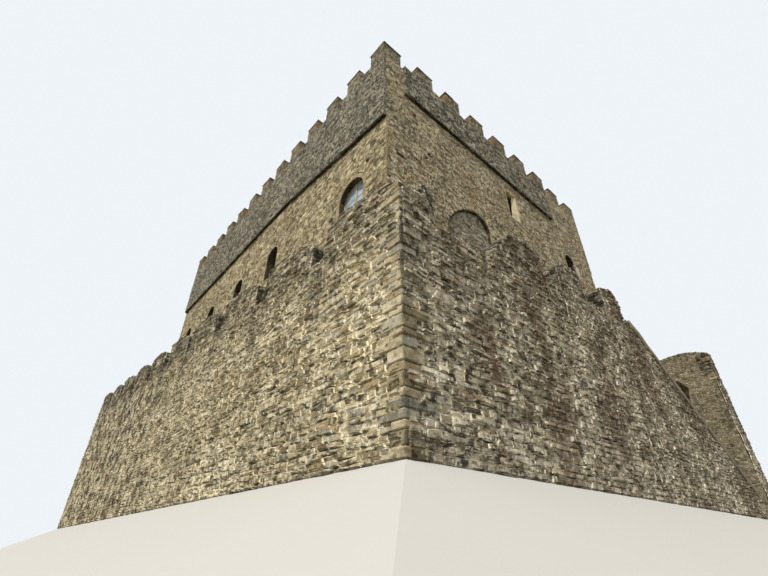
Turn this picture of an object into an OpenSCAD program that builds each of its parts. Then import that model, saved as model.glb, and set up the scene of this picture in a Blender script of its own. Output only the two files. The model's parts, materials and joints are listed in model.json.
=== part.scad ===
// Crenellated stone keep standing inside its own close curtain wall.
// Millimetres, +Z up, origin on the ground at the centre of the plan.
// The long front looks to -Y, the short right side looks to +X.

/* [Keep] */
// Length of the keep over its battlements, along X
keep_l = 25000; // [22000:100:27000]
// Depth of the keep over its battlements, along Y
keep_d = 18700; // [17000:100:19500]
// Thickness of the keep's walls
keep_wall_t = 1450; // [1300:50:1800]
// Level of the wall-walk on top of the keep's walls
walk_z = 18200; // [17900:50:18400]
// Level of the main floor
main_floor_z = 9400; // [9000:50:9700]
// Level of the upper floor
upper_floor_z = 13450; // [13400:10:13480]
// Thickness of a timber floor
floor_t = 260; // [180:10:300]

/* [Battlements of the keep] */
// Thickness of the parapet
parapet_t = 600; // [500:10:700]
// Distance that the parapet band stands out from the wall below it
jetty = 150; // [80:10:200]
// Underside of the front band at its left end
band_z = 15400; // [15000:50:15800]
// Underside of the front band at its highest point, where it bends
band_bend_z = 15700; // [15300:50:16000]
// Distance of that bend from the near corner
band_bend_in = 9000; // [7000:100:11000]
// Underside of the front band at the near corner
band_corner_z = 14760; // [14400:20:15200]
// Underside of the side band at its end next to the front
side_band_near_z = 17420; // [17200:20:17700]
// Underside of the side band at its end next to the rear
side_band_z = 17080; // [16900:20:17400]
// Flush corner pier on each side, next to the front
near_pier_w = 1250; // [1150:10:2000]
// Flush corner pier on each side, next to the rear
far_pier_w = 4350; // [4200:10:4900]
// Level of the sills between the merlons
sill_z = 19600; // [19300:50:19900]
// Height of a merlon under its coping
merlon_h = 920; // [700:10:1100]
// Merlons along the front, both corners counted
front_merlons = 13; // [9:1:15]
// Merlons along a side, both corners counted
side_merlons = 9; // [7:1:11]
// Thickness of a merlon's coping slab
coping_t = 80; // [50:5:120]
// Overhang of a coping slab round its merlon
coping_over = 50; // [0:5:80]

/* [Roof] */
// Width of the roof's seat on the inner edge of the walls
roof_seat = 300; // [200:10:400]
// Slope of the roof, as its rise over its run
roof_pitch = 0.24; // [0.18:0.01:0.26]
// Vertical thickness of the tiled slopes
roof_t = 220; // [150:10:300]

/* [Windows and doorway] */
// Width of the large window in the front
large_window_w = 1700; // [1400:10:1800]
// Distance of the large window's centre from the keep's near corner
large_window_in = 2310; // [2200:10:2800]
// Sill level of the large window
large_window_z = 10650; // [10400:10:10900]
// Height of the large window to the spring of its arch
large_window_spring = 1100; // [900:5:1300]
// Width of a small arched window
small_window_w = 1200; // [900:10:1260]
// Sill level of the small windows
small_window_z = 11100; // [10800:10:11140]
// Height of a small window to the spring of its arch
small_window_spring = 1420; // [1000:5:1450]
// Spacing of the small windows along the front
small_window_pitch = 4400; // [3600:50:4600]
// Distance of the outermost small window from the keep's far corner
small_window_in = 2250; // [2250:50:2800]
// Small windows in the row along the front
front_windows = 4; // [2:1:4]
// Spacing of the windows at each end of the rear
rear_window_pitch = 4900; // [4000:50:5200]
// Distance of the left windows from the corners beside them
left_window_in = 4450; // [3200:50:5000]
// Width of the upper window
upper_window_w = 1100; // [900:10:1200]
// Distance of the upper window from the rear corner of the right side
upper_window_in = 3170; // [2900:10:3500]
// Sill level of the upper window
upper_window_z = 13500; // [13490:10:13600]
// Height of the upper window to the spring of its arch
upper_window_spring = 700; // [600:10:800]
// Distance of the splayed slot from the keep's near corner
slot_in = 9650; // [9400:10:10000]
// Sill level of the splayed slot
slot_z = 14400; // [14200:10:14600]
// Height of the splayed slot
slot_h = 1900; // [1500:10:2100]
// Width of the slot at the outer face
slot_mouth_w = 900; // [700:10:1000]
// Width of the slot at its throat
slot_throat_w = 260; // [180:10:320]
// Depth of the outer splay
slot_splay = 200; // [150:10:350]
// Width of the plaster band round the slot
slot_band_w = 45; // [30:5:80]
// Thickness of the plaster in the splay
plaster_t = 30; // [20:5:40]
// Width of the walled-up arch in the right side
blocked_w = 3200; // [2800:10:3400]
// Distance of the walled-up arch's centre from the keep's near corner
blocked_in = 5180; // [5000:10:5400]
// Height of the walled-up arch to its spring on the far side, from the main floor
blocked_spring = 2100; // [1800:10:2300]
// Height to its spring on the near side, where it has sunk
blocked_low_spring = 900; // [600:10:1400]
// Height of its crown
blocked_crown = 3130; // [2700:10:3200]
// Distance of the crown from the middle of the arch
blocked_crown_off = 660; // [200:10:900]
// Depth of the walling behind the face of the wall
blocked_recess = 160; // [80:10:250]
// Thickness of the walling in the arch
blocked_t = 600; // [300:10:800]
// Width of the raised doorway in the rear wall
door_w = 1300; // [1000:10:1500]
// Height of the raised doorway to the spring of its arch
door_spring = 1700; // [1500:10:2000]

/* [Large window joinery] */
// Depth of the frame behind the face of the wall
frame_recess = 260; // [150:10:400]
// Thickness of the frame's timbers, front to back
frame_t = 90; // [60:5:120]
// Width of the frame's outer timbers
frame_w = 70; // [50:5:100]
// Width of the post down the middle
mullion_w = 90; // [60:5:120]
// Thickness of the glass
glass_t = 8; // [6:1:12]
// Projection of the window's stone sill
sill_out = 110; // [60:5:160]
// Thickness of the window's stone sill
sill_t = 90; // [60:5:130]
// Length that the sill runs past the window on each side
sill_past = 250; // [100:10:300]

/* [Curtain wall] */
// Distance of the curtain wall's outer face from the keep, on the right and left
curtain_out_x = 3800; // [3500:50:4200]
// Distance of the curtain wall's outer face from the keep, at the front and rear
curtain_out_y = 2850; // [2700:50:3200]
// Thickness of the curtain wall below its walk
curtain_t = 1200; // [1000:50:1400]
// Thickness of the curtain wall's parapet
curtain_parapet_t = 550; // [400:10:650]
// Height of the parapet from the walk to its sills
curtain_parapet_h = 1100; // [1000:10:1200]
// Parapet sill level at the near corner
near_sill_z = 4750; // [4500:50:5100]
// Parapet sill level at the left end and round the rear
left_sill_z = 7620; // [7300:20:8000]
// Parapet sill level on the right side, at the head of the ramp
head_sill_z = 6250; // [6150:50:6400]
// Height of the curtain wall's merlons
curtain_merlon_h = 1100; // [800:10:1200]
// Merlons along the front of the curtain wall, both corners counted, and as many along the rear
curtain_merlons = 10; // [8:1:11]
// Gap between merlons along the front, left and rear
curtain_gap = 650; // [500:10:1000]
// Width of the merlon at the near corner, on the right side
corner_merlon_w = 1000; // [700:10:1300]
// Distance of each other merlon on the right side from the head of the ramp
right_merlon_back = [8460, 5220, 1890];
// Width of each of those merlons
right_merlon_w = [2320, 1700, 1420];
// Depth worn off the near shoulder of each of those merlons
right_merlon_wear = [700, 230, 50];
// Depth worn off the weather shoulder of every other merlon
weather_wear = 240; // [100:10:400]
// Depth worn off a sheltered shoulder
shelter_wear = 50; // [20:5:90]
// Rise of the worn crown of a merlon
crown_rise = 80; // [40:5:120]

/* [Ramp and walks] */
// Way in from outside, between the raking parapet and the rear of the curtain wall
entry_w = 1730; // [1300:10:1900]
// Slope of the ramp, as its fall over its run
ramp_pitch = 0.563; // [0.54:0.001:0.6]
// Height of the raking parapet over the ramp
rake_h = 1200; // [1000:10:1240]
// Length that the raking parapet runs on past the foot of the ramp
rake_past = 500; // [200:10:700]
// Thickness of the walk and ramp slabs
slab_t = 400; // [300:10:500]

/* [Hidden] */
$fn = 64;

// How far a cutting body runs past the faces that it cuts
past = 50;

// Half sizes of the keep over its battlements
hx = keep_l / 2;
hy = keep_d / 2;
// Outer faces of the keep's walls below the bands
wall_left = -hx;
wall_right = hx;
wall_front = -hy + jetty;
wall_rear = hy - jetty;
// Inner faces of the keep's walls
room_left = wall_left + keep_wall_t;
room_right = wall_right - keep_wall_t;
room_front = wall_front + keep_wall_t;
room_rear = wall_rear - keep_wall_t;
// Reach of the band on the right side
side_band_from = -hy + near_pier_w;
side_band_to = hy - far_pier_w;
side_band_face = hx + jetty;
// Lowest level of the band on the right side
side_band_foot = min(side_band_z, side_band_near_z);
// Widths of merlons, which are as wide as the gaps between them
front_merlon_w = keep_l / (2 * front_merlons - 1);
side_merlon_w = keep_d / (2 * side_merlons - 1);
// Level of the merlons' tops under the copings
merlon_top_z = sill_z + merlon_h;

// Half sizes of the curtain wall over its outer faces
cx = hx + curtain_out_x;
cy = hy + curtain_out_y;
curtain_l = 2 * cx;
// Spacing of the merlons along the front and rear
curtain_step = (curtain_l + curtain_gap) / curtain_merlons;
// Inner faces of the curtain wall
alley_x = cx - curtain_t;
alley_y = cy - curtain_t;
// Walk levels of the curtain wall
near_walk_z = near_sill_z - curtain_parapet_h;
left_walk_z = left_sill_z - curtain_parapet_h;
head_walk_z = head_sill_z - curtain_parapet_h;
// Places along the right side
rake_end_y = alley_y - entry_w;
ramp_foot_y = rake_end_y - rake_past;
ramp_head_y = ramp_foot_y - head_walk_z / ramp_pitch;
ramp_head = ramp_head_y + cy;

// Level along the front at x, between its value at the near and at the left corner
function front_line(x, near, left) = near + (cx - x) / curtain_l * (left - near);
// Level along the right side at y, from the near corner to the head of the ramp
function side_line(y, near, head) = near + (y + cy) / ramp_head * (head - near);

// A sheet of wall in the plane of Y and Z, from x to x + t
module side_sheet(x, t) {
    translate([x, 0, 0])
        rotate([90, 0, 90])
            linear_extrude(height = t)
                children();
}

// A sheet of wall in the plane of X and Z, from y to y + t
module front_sheet(y, t) {
    translate([0, y + t, 0])
        rotate([90, 0, 0])
            linear_extrude(height = t)
                children();
}

// A round-headed opening, cut along Y through a wall whose face is at y = 0
module arch_cut(w, spring, depth) {
    translate([-w / 2, -past, 0])
        cube([w, depth + 2 * past, spring]);
    translate([0, -past, spring])
        rotate([-90, 0, 0])
            cylinder(h = depth + 2 * past, d = w);
}

// Places an opening in a wall: turn 0 for the front, 90 for the right, 180 rear, 270 left
module at_wall(turn, along, z, face) {
    rotate([0, 0, turn])
        translate([along, -face, z])
            children();
}

module small_window_cut() {
    arch_cut(small_window_w, small_window_spring, keep_wall_t);
}

// The row of windows along the front, and the large one near the right corner
module front_openings() {
    for (i = [0 : front_windows - 1])
        at_wall(0, -hx + small_window_in + i * small_window_pitch, small_window_z, -wall_front)
            small_window_cut();
    at_wall(0, hx - large_window_in, large_window_z, -wall_front)
        arch_cut(large_window_w, large_window_spring, keep_wall_t);
}

// Plan of the slot: a splay outside, a throat, and a splay inside, as deep as the wall
module slot_plan(widen) {
    mouth = slot_mouth_w / 2 + widen;
    throat = slot_throat_w / 2 + widen;
    polygon([[-mouth, -past], [mouth, -past], [mouth, 0], [throat, slot_splay],
        [throat, keep_wall_t - slot_splay], [mouth, keep_wall_t],
        [mouth, keep_wall_t + past], [-mouth, keep_wall_t + past], [-mouth, keep_wall_t],
        [-throat, keep_wall_t - slot_splay], [-throat, slot_splay], [-mouth, 0]]);
}

module slot_cut(widen) {
    translate([0, 0, -widen])
        linear_extrude(height = slot_h + 2 * widen)
            slot_plan(widen);
}

// One flank of the sunken arch: from its crown out to a spring, bulging by the given power
function arch_flank(out, top, spring, power) = [for (i = [0 : 12])
    let (t = 90 * i / 12)
    [blocked_crown_off + out * pow(sin(t), 2 / power), spring + (top - spring) * pow(cos(t), 2 / power)]];

module walled_arch_cut(depth) {
    far = blocked_w / 2 - blocked_crown_off;
    near = blocked_w / 2 + blocked_crown_off;
    right = arch_flank(far, blocked_crown, blocked_spring, 2.6);
    left = arch_flank(-near, blocked_crown, blocked_low_spring, 1.6);
    translate([0, depth + past, 0])
        rotate([90, 0, 0])
            linear_extrude(height = depth + 2 * past)
                polygon(concat(right, [[blocked_w / 2, 0], [-blocked_w / 2, 0]],
                    [for (i = [12 : -1 : 1]) left[i]]));
}

module right_openings() {
    at_wall(90, hy - upper_window_in, upper_window_z, wall_right)
        arch_cut(upper_window_w, upper_window_spring, keep_wall_t);
    at_wall(90, -hy + slot_in, slot_z, wall_right)
        slot_cut(plaster_t);
    at_wall(90, -hy + blocked_in, main_floor_z, wall_right)
        walled_arch_cut(keep_wall_t);
}

module rear_openings() {
    for (side = [-1, 1], step = [0, 1])
        at_wall(180, side * (hx - small_window_in - step * rear_window_pitch), small_window_z, wall_rear)
            small_window_cut();
    at_wall(180, 0, main_floor_z, wall_rear)
        arch_cut(door_w, door_spring, keep_wall_t);
}

module left_openings() {
    for (side = [-1, 1])
        at_wall(270, side * (hy - left_window_in), small_window_z, -wall_left)
            small_window_cut();
}

// The parapets stand in a rebate along the outer edge of the walls
module front_parapet_body() {
    front_sheet(-hy, parapet_t)
        polygon([[-hx, band_z], [hx - band_bend_in, band_bend_z], [hx, band_corner_z],
            [hx, sill_z], [-hx, sill_z]]);
}

module rear_parapet_body() {
    mirror([0, 1, 0]) front_parapet_body();
}

// On the right only the stretch between the corner piers stands out
module right_parapet_body() {
    side_sheet(side_band_face - parapet_t, parapet_t)
        polygon([[side_band_from, side_band_near_z], [side_band_to, side_band_z],
            [side_band_to, sill_z], [side_band_from, sill_z]]);
    translate([hx - parapet_t, -hy + parapet_t, walk_z])
        cube([parapet_t, keep_d - 2 * parapet_t, sill_z - walk_z]);
}

module left_parapet_body() {
    mirror([1, 0, 0]) right_parapet_body();
}

module all_parapet_bodies() {
    front_parapet_body();
    rear_parapet_body();
    left_parapet_body();
    right_parapet_body();
}

module front_parapet() {
    color("#7d725c") front_parapet_body();
}

module rear_parapet() {
    color("#7d725c") rear_parapet_body();
}

module left_parapet() {
    color("#7d725c") left_parapet_body();
}

module right_parapet() {
    color("#6f6a55") right_parapet_body();
}

module keep_front_wall() {
    color("#a8946c") difference() {
        translate([wall_left, wall_front, 0])
            cube([wall_right - wall_left, keep_wall_t, walk_z]);
        front_openings();
        all_parapet_bodies();
    }
}

module keep_rear_wall() {
    color("#8a7c5e") difference() {
        translate([wall_left, room_rear, 0])
            cube([wall_right - wall_left, keep_wall_t, walk_z]);
        rear_openings();
        all_parapet_bodies();
    }
}

// The right wall from one level to another; the front and rear walls close its ends
module right_wall_body(from, to) {
    difference() {
        translate([room_right, room_front, from])
            cube([keep_wall_t, room_rear - room_front, to - from]);
        right_openings();
        all_parapet_bodies();
    }
}

module keep_right_wall() {
    color("#7f7358") right_wall_body(0, upper_window_z);
}

// The upper storey of the right wall, from the sill of its window to the foot of the band
module keep_right_upper_wall() {
    color("#7f7358") right_wall_body(upper_window_z, side_band_foot);
}

// The head of the right wall, with the rebate that the band stands in
module keep_right_wall_head() {
    color("#7f7358") right_wall_body(side_band_foot, walk_z);
}

module keep_left_wall() {
    color("#8a7c5e") difference() {
        translate([wall_left, room_front, 0])
            cube([keep_wall_t, room_rear - room_front, walk_z]);
        left_openings();
        all_parapet_bodies();
    }
}

// Merlons of the front or rear; the corner ones turn round on to the sides
module long_merlons(h, over) {
    for (i = [0 : front_merlons - 1])
        translate([-hx + 2 * i * front_merlon_w - over, -hy - over, 0])
            cube([front_merlon_w + 2 * over, parapet_t + 2 * over, h]);
    for (end = [-hx, hx - parapet_t])
        translate([end - over, -hy - over, 0])
            cube([parapet_t + 2 * over, side_merlon_w + 2 * over, h]);
}

// Merlons of a side between the corners, with the face of the parapet below each
module side_merlon_row(h, over, flush_from, flush_to, out) {
    for (i = [1 : side_merlons - 2]) {
        along = -hy + 2 * i * side_merlon_w;
        proud = along >= flush_from && along + side_merlon_w <= flush_to;
        translate([hx + (proud ? out : 0) - parapet_t - over, along - over, 0])
            cube([parapet_t + 2 * over, side_merlon_w + 2 * over, h]);
    }
}

module front_merlons() {
    color("#857558") translate([0, 0, sill_z]) long_merlons(merlon_h, 0);
}

module rear_merlons() {
    color("#857558") translate([0, 0, sill_z]) mirror([0, 1, 0]) long_merlons(merlon_h, 0);
}

module right_merlons() {
    color("#857558") translate([0, 0, sill_z])
        side_merlon_row(merlon_h, 0, side_band_from, side_band_to, jetty);
}

module left_merlons() {
    color("#857558") translate([0, 0, sill_z]) mirror([1, 0, 0])
        side_merlon_row(merlon_h, 0, side_band_from, side_band_to, jetty);
}

module front_copings() {
    color("#4d463b") translate([0, 0, merlon_top_z]) long_merlons(coping_t, coping_over);
}

module rear_copings() {
    color("#4d463b") translate([0, 0, merlon_top_z])
        mirror([0, 1, 0]) long_merlons(coping_t, coping_over);
}

module right_copings() {
    color("#4d463b") translate([0, 0, merlon_top_z])
        side_merlon_row(coping_t, coping_over, side_band_from, side_band_to, jetty);
}

module left_copings() {
    color("#4d463b") translate([0, 0, merlon_top_z]) mirror([1, 0, 0])
        side_merlon_row(coping_t, coping_over, side_band_from, side_band_to, jetty);
}

// Footprint of the roof, which bears on the inner edge of the walls
roof_left_x = room_left - roof_seat;
roof_right_x = room_right + roof_seat;
roof_front_y = room_front - roof_seat;
roof_rear_y = room_rear + roof_seat;
roof_run = (roof_rear_y - roof_front_y) / 2;
roof_h = roof_run * roof_pitch;
roof_mid_y = (roof_front_y + roof_rear_y) / 2;

// The solid under a hipped roof whose eaves are at z = 0
module hip_solid() {
    intersection() {
        translate([roof_left_x, 0, 0])
            rotate([90, 0, 90])
                linear_extrude(height = roof_right_x - roof_left_x)
                    polygon([[roof_front_y, 0], [roof_rear_y, 0], [roof_mid_y, roof_h]]);
        translate([0, roof_rear_y, 0])
            rotate([90, 0, 0])
                linear_extrude(height = roof_rear_y - roof_front_y)
                    polygon([[roof_left_x, 0], [roof_right_x, 0],
                        [roof_right_x - roof_run, roof_h], [roof_left_x + roof_run, roof_h]]);
    }
}

module roof_shell() {
    translate([0, 0, walk_z]) difference() {
        hip_solid();
        translate([0, 0, -roof_t]) hip_solid();
    }
}

// The part of the roof over one stretch of plan
module roof_slope(plan) {
    intersection() {
        roof_shell();
        translate([0, 0, walk_z])
            linear_extrude(height = roof_h + past)
                polygon(plan);
    }
}

module roof_front() {
    color("#a5664a") roof_slope([[roof_left_x, roof_front_y], [roof_right_x, roof_front_y],
        [roof_right_x - roof_run, roof_mid_y], [roof_left_x + roof_run, roof_mid_y]]);
}

module roof_rear() {
    color("#a5664a") roof_slope([[roof_right_x, roof_rear_y], [roof_left_x, roof_rear_y],
        [roof_left_x + roof_run, roof_mid_y], [roof_right_x - roof_run, roof_mid_y]]);
}

module roof_right() {
    color("#a5664a") roof_slope([[roof_right_x, roof_front_y], [roof_right_x, roof_rear_y],
        [roof_right_x - roof_run, roof_mid_y]]);
}

module roof_left() {
    color("#a5664a") roof_slope([[roof_left_x, roof_rear_y], [roof_left_x, roof_front_y],
        [roof_left_x + roof_run, roof_mid_y]]);
}

module floor_slab(top) {
    translate([room_left, room_front, top - floor_t])
        cube([room_right - room_left, room_rear - room_front, floor_t]);
}

module main_floor() {
    color("#8b6a45") floor_slab(main_floor_z);
}

module upper_floor() {
    color("#8b6a45") floor_slab(upper_floor_z);
}

// Rubble walling that closes the old arch, a little behind the face
module walled_up_arch() {
    color("#6d6656") at_wall(90, -hy + blocked_in, main_floor_z, wall_right)
        intersection() {
            walled_arch_cut(keep_wall_t);
            translate([-blocked_w, blocked_recess, -past])
                cube([2 * blocked_w, blocked_t, blocked_crown + 2 * past]);
        }
}

// Plaster on the outer splay of the slot, with a narrow band round its mouth
module slot_plaster() {
    color("#d8cfb4") at_wall(90, -hy + slot_in, slot_z, wall_right)
        difference() {
            union() {
                intersection() {
                    slot_cut(plaster_t);
                    translate([-slot_mouth_w, 0, -past])
                        cube([2 * slot_mouth_w, slot_splay, slot_h + 2 * past]);
                }
                translate([-slot_mouth_w / 2 - slot_band_w, -plaster_t / 2, -slot_band_w])
                    cube([slot_mouth_w + 2 * slot_band_w, plaster_t / 2, slot_h + 2 * slot_band_w]);
            }
            slot_cut(0);
        }
}

// Outline of the large window's opening, drawn in the plane of the wall
module large_window_shape(inset) {
    offset_w = large_window_w - 2 * inset;
    translate([-offset_w / 2, inset])
        square([offset_w, large_window_spring - inset]);
    translate([0, large_window_spring])
        circle(d = offset_w);
}

// Stands a flat shape in the large window, from a depth behind the face
module in_large_window(depth, t) {
    at_wall(0, hx - large_window_in, large_window_z, -wall_front)
        translate([0, depth + t, 0])
            rotate([90, 0, 0])
                linear_extrude(height = t)
                    children();
}

module window_frame() {
    color("#cdbf9f") difference() {
        in_large_window(frame_recess, frame_t) difference() {
            large_window_shape(0);
            difference() {
                large_window_shape(frame_w);
                translate([-mullion_w / 2, 0])
                    square([mullion_w, large_window_spring + large_window_w]);
            }
        }
        in_large_window(frame_recess + (frame_t - glass_t) / 2, glass_t)
            large_window_shape(frame_w / 2);
    }
}

module window_glass() {
    color("#8fb0b8", 0.5)
        in_large_window(frame_recess + (frame_t - glass_t) / 2, glass_t)
            large_window_shape(frame_w / 2);
}

module window_sill() {
    color("#8d8570") at_wall(0, hx - large_window_in, large_window_z, -wall_front)
        translate([-large_window_w / 2 - sill_past, -sill_out, -sill_t])
            cube([large_window_w + 2 * sill_past, sill_out, sill_t]);
}

module curtain_front_wall() {
    color("#8f8570") front_sheet(-cy, curtain_t)
        polygon([[-cx, 0], [cx, 0], [cx, near_walk_z], [-cx, left_walk_z]]);
}

module curtain_right_wall() {
    color("#7d7766") side_sheet(alley_x, curtain_t)
        polygon([[-alley_y, 0], [ramp_foot_y, 0], [ramp_head_y, head_walk_z],
            [-alley_y, side_line(-alley_y, near_walk_z, head_walk_z)]]);
}

module curtain_rear_wall() {
    color("#7d7766") translate([-cx, alley_y, 0])
        cube([curtain_l, curtain_t, left_walk_z]);
}

module curtain_left_wall() {
    color("#7d7766") translate([-cx, -alley_y, 0])
        cube([curtain_t, 2 * alley_y, left_walk_z]);
}

// Depth worn off a merlon's crown at t, from 0 at its start to 1 at its end
function wear(t, low_a, low_b) = crown_rise * pow(2 * t - 1, 2)
    + low_a * pow(max(0, 1 - 2 * t), 2) + low_b * pow(max(0, 2 * t - 1), 2);

// A merlon with a worn crown from a to b over a sill line, its shoulders lowered at a and b
module worn_merlon(a, b, sill_a, sill_b, low_a, low_b) {
    crown = [for (i = [8 : -1 : 0])
        let (t = i / 8)
        [a + t * (b - a), sill_a + t * (sill_b - sill_a) + curtain_merlon_h - wear(t, low_a, low_b)]];
    polygon(concat([[a, sill_a - past], [b, sill_b - past]], crown));
}

// Worn merlons in a row, on a sill line that runs evenly from one level to another
module worn_row(from, to, sill_from, sill_to, first, count, step) {
    slope = (sill_to - sill_from) / (to - from);
    for (i = [0 : count - 1]) {
        a = first + i * step;
        b = a + step - curtain_gap;
        worn_merlon(a, b, sill_from + (a - from) * slope, sill_from + (b - from) * slope,
            shelter_wear, weather_wear);
    }
}

function side_sill(y) = side_line(y, near_sill_z, head_sill_z);

// Parapet and merlons of the front, in the plane of X and Z
module front_battlement_shape() {
    polygon([[-cx, left_walk_z], [cx, near_walk_z], [cx, near_sill_z], [-cx, left_sill_z]]);
    worn_row(-cx, cx, left_sill_z, near_sill_z, -cx, curtain_merlons, curtain_step);
}

module curtain_front_parapet() {
    color("#867c68") front_sheet(-cy, curtain_parapet_t)
        front_battlement_shape();
}

// Parapet of the right side: four merlons, then the rake down beside the ramp
module curtain_right_parapet() {
    from = -cy + curtain_parapet_t;
    color("#746f5f") side_sheet(cx - curtain_parapet_t, curtain_parapet_t) {
        polygon([[from, side_line(from, near_walk_z, head_walk_z)], [ramp_head_y, head_walk_z],
            [ramp_foot_y, 0], [rake_end_y, 0],
            [rake_end_y, rake_h - rake_past * ramp_pitch],
            [ramp_head_y, head_walk_z + rake_h], [ramp_head_y, head_sill_z],
            [from, side_sill(from)]]);
        worn_merlon(from, -cy + corner_merlon_w, side_sill(from), side_sill(-cy + corner_merlon_w),
            weather_wear, shelter_wear);
        for (i = [0 : len(right_merlon_back) - 1]) {
            a = ramp_head_y - right_merlon_back[i];
            b = a + right_merlon_w[i];
            worn_merlon(a, b, side_sill(a), side_sill(b), right_merlon_wear[i], shelter_wear);
        }
    }
}

// A level run of parapet with a row of merlons, in its own plane
module level_battlement_shape(from, to, first, count, step) {
    translate([from, left_walk_z])
        square([to - from, curtain_parapet_h]);
    worn_row(from, to, left_sill_z, left_sill_z, first, count, step);
}

module curtain_rear_parapet() {
    color("#746f5f") front_sheet(cy - curtain_parapet_t, curtain_parapet_t)
        level_battlement_shape(-cx, cx, -cx, curtain_merlons, curtain_step);
}

// Between the corner merlons of the front and rear, so it starts and ends with a gap
module curtain_left_parapet() {
    end = cy - curtain_parapet_t;
    count = round((2 * end - curtain_gap) / curtain_step);
    color("#746f5f") side_sheet(-cx, curtain_parapet_t)
        level_battlement_shape(-end, end, -end + curtain_gap, count, (2 * end - curtain_gap) / count);
}

// Levels of the walk along the front and along the right side
function front_walk_line(x) = front_line(x, near_walk_z, left_walk_z);
function side_walk_line(y) = side_line(y, near_walk_z, head_walk_z);

module front_walk() {
    color("#9a917c") front_sheet(-alley_y, alley_y + wall_front)
        polygon([[-alley_x, front_walk_line(-alley_x) - slab_t], [alley_x, front_walk_line(alley_x) - slab_t],
            [alley_x, front_walk_line(alley_x)], [-alley_x, front_walk_line(-alley_x)]]);
}

module right_walk() {
    color("#9a917c") side_sheet(wall_right, alley_x - wall_right)
        polygon([[wall_front, side_walk_line(wall_front) - slab_t], [ramp_head_y, head_walk_z - slab_t],
            [ramp_head_y, head_walk_z], [wall_front, side_walk_line(wall_front)]]);
}

module left_walk() {
    color("#9a917c") translate([-alley_x, wall_front, left_walk_z - slab_t])
        cube([alley_x + wall_left, wall_rear - wall_front, slab_t]);
}

module rear_walk() {
    color("#9a917c") translate([-alley_x, wall_rear, left_walk_z - slab_t])
        cube([alley_x + wall_right, alley_y - wall_rear, slab_t]);
}

module ramp() {
    color("#9a917c") side_sheet(wall_right, alley_x - wall_right)
        polygon([[ramp_head_y, head_walk_z - slab_t], [ramp_foot_y - slab_t / ramp_pitch, 0],
            [ramp_foot_y, 0], [ramp_head_y, head_walk_z]]);
}

keep_front_wall();
keep_right_wall();
keep_right_upper_wall();
keep_right_wall_head();
keep_rear_wall();
keep_left_wall();
front_parapet();
right_parapet();
rear_parapet();
left_parapet();
front_merlons();
right_merlons();
rear_merlons();
left_merlons();
front_copings();
right_copings();
rear_copings();
left_copings();
roof_front();
roof_right();
roof_rear();
roof_left();
main_floor();
upper_floor();
walled_up_arch();
slot_plaster();
window_frame();
window_glass();
window_sill();
curtain_front_wall();
curtain_right_wall();
curtain_rear_wall();
curtain_left_wall();
curtain_front_parapet();
curtain_right_parapet();
curtain_rear_parapet();
curtain_left_parapet();
front_walk();
right_walk();
rear_walk();
left_walk();
ramp();
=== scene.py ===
import json
import logging
import math
import random
from dataclasses import dataclass, field
from enum import Enum
from functools import cached_property
from typing import Callable, Iterable, Sequence

import bmesh
import bpy
from mathutils import Matrix, Vector, noise
from mathutils.bvhtree import BVHTree

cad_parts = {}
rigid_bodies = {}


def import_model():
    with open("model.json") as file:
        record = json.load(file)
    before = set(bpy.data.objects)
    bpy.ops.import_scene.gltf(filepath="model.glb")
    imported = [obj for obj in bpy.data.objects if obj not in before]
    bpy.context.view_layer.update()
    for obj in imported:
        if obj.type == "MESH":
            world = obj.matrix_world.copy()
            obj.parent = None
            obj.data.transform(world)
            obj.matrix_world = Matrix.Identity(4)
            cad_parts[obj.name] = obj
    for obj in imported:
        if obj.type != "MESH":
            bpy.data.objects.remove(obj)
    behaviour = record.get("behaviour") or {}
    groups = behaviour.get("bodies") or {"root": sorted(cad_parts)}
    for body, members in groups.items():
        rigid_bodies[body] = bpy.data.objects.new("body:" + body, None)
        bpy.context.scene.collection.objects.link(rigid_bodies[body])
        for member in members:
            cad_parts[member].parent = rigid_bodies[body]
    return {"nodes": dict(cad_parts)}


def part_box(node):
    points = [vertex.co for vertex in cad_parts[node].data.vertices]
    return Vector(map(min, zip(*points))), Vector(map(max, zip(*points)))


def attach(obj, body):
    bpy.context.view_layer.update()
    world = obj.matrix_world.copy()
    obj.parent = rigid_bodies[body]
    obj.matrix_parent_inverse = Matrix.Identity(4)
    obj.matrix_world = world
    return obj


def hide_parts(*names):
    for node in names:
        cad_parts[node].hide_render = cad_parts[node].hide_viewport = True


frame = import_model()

log = logging.getLogger("castle_keep")

SUFFIX = "_finish"
# Multiplier that makes a second, unrelated number of a stone's tint
SECOND_DRAW = 37.3
# Places of a Mix node's colour inputs
MIX_SHARE, MIX_FIRST, MIX_SECOND = 0, 6, 7

Pair = tuple[float, float]
Triple = tuple[float, float, float]
Colour = Triple
Line = Callable[[float], float]


def linear(rgb: Sequence[float]) -> tuple[float, float, float, float]:
    """Turns an 8-bit sRGB colour into the linear colour that a socket takes.

    Args:
        rgb: The colour, 0 to 255 in each channel.

    Returns:
        The linear colour with an alpha of 1.
    """
    def one(value: float) -> float:
        """Gives one channel in linear light."""
        share = value / 255
        return share / 12.92 if share <= 0.04045 else ((share + 0.055) / 1.055) ** 2.4
    return one(rgb[0]), one(rgb[1]), one(rgb[2]), 1.0


# ---------------------------------------------------------------- shader tools

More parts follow.
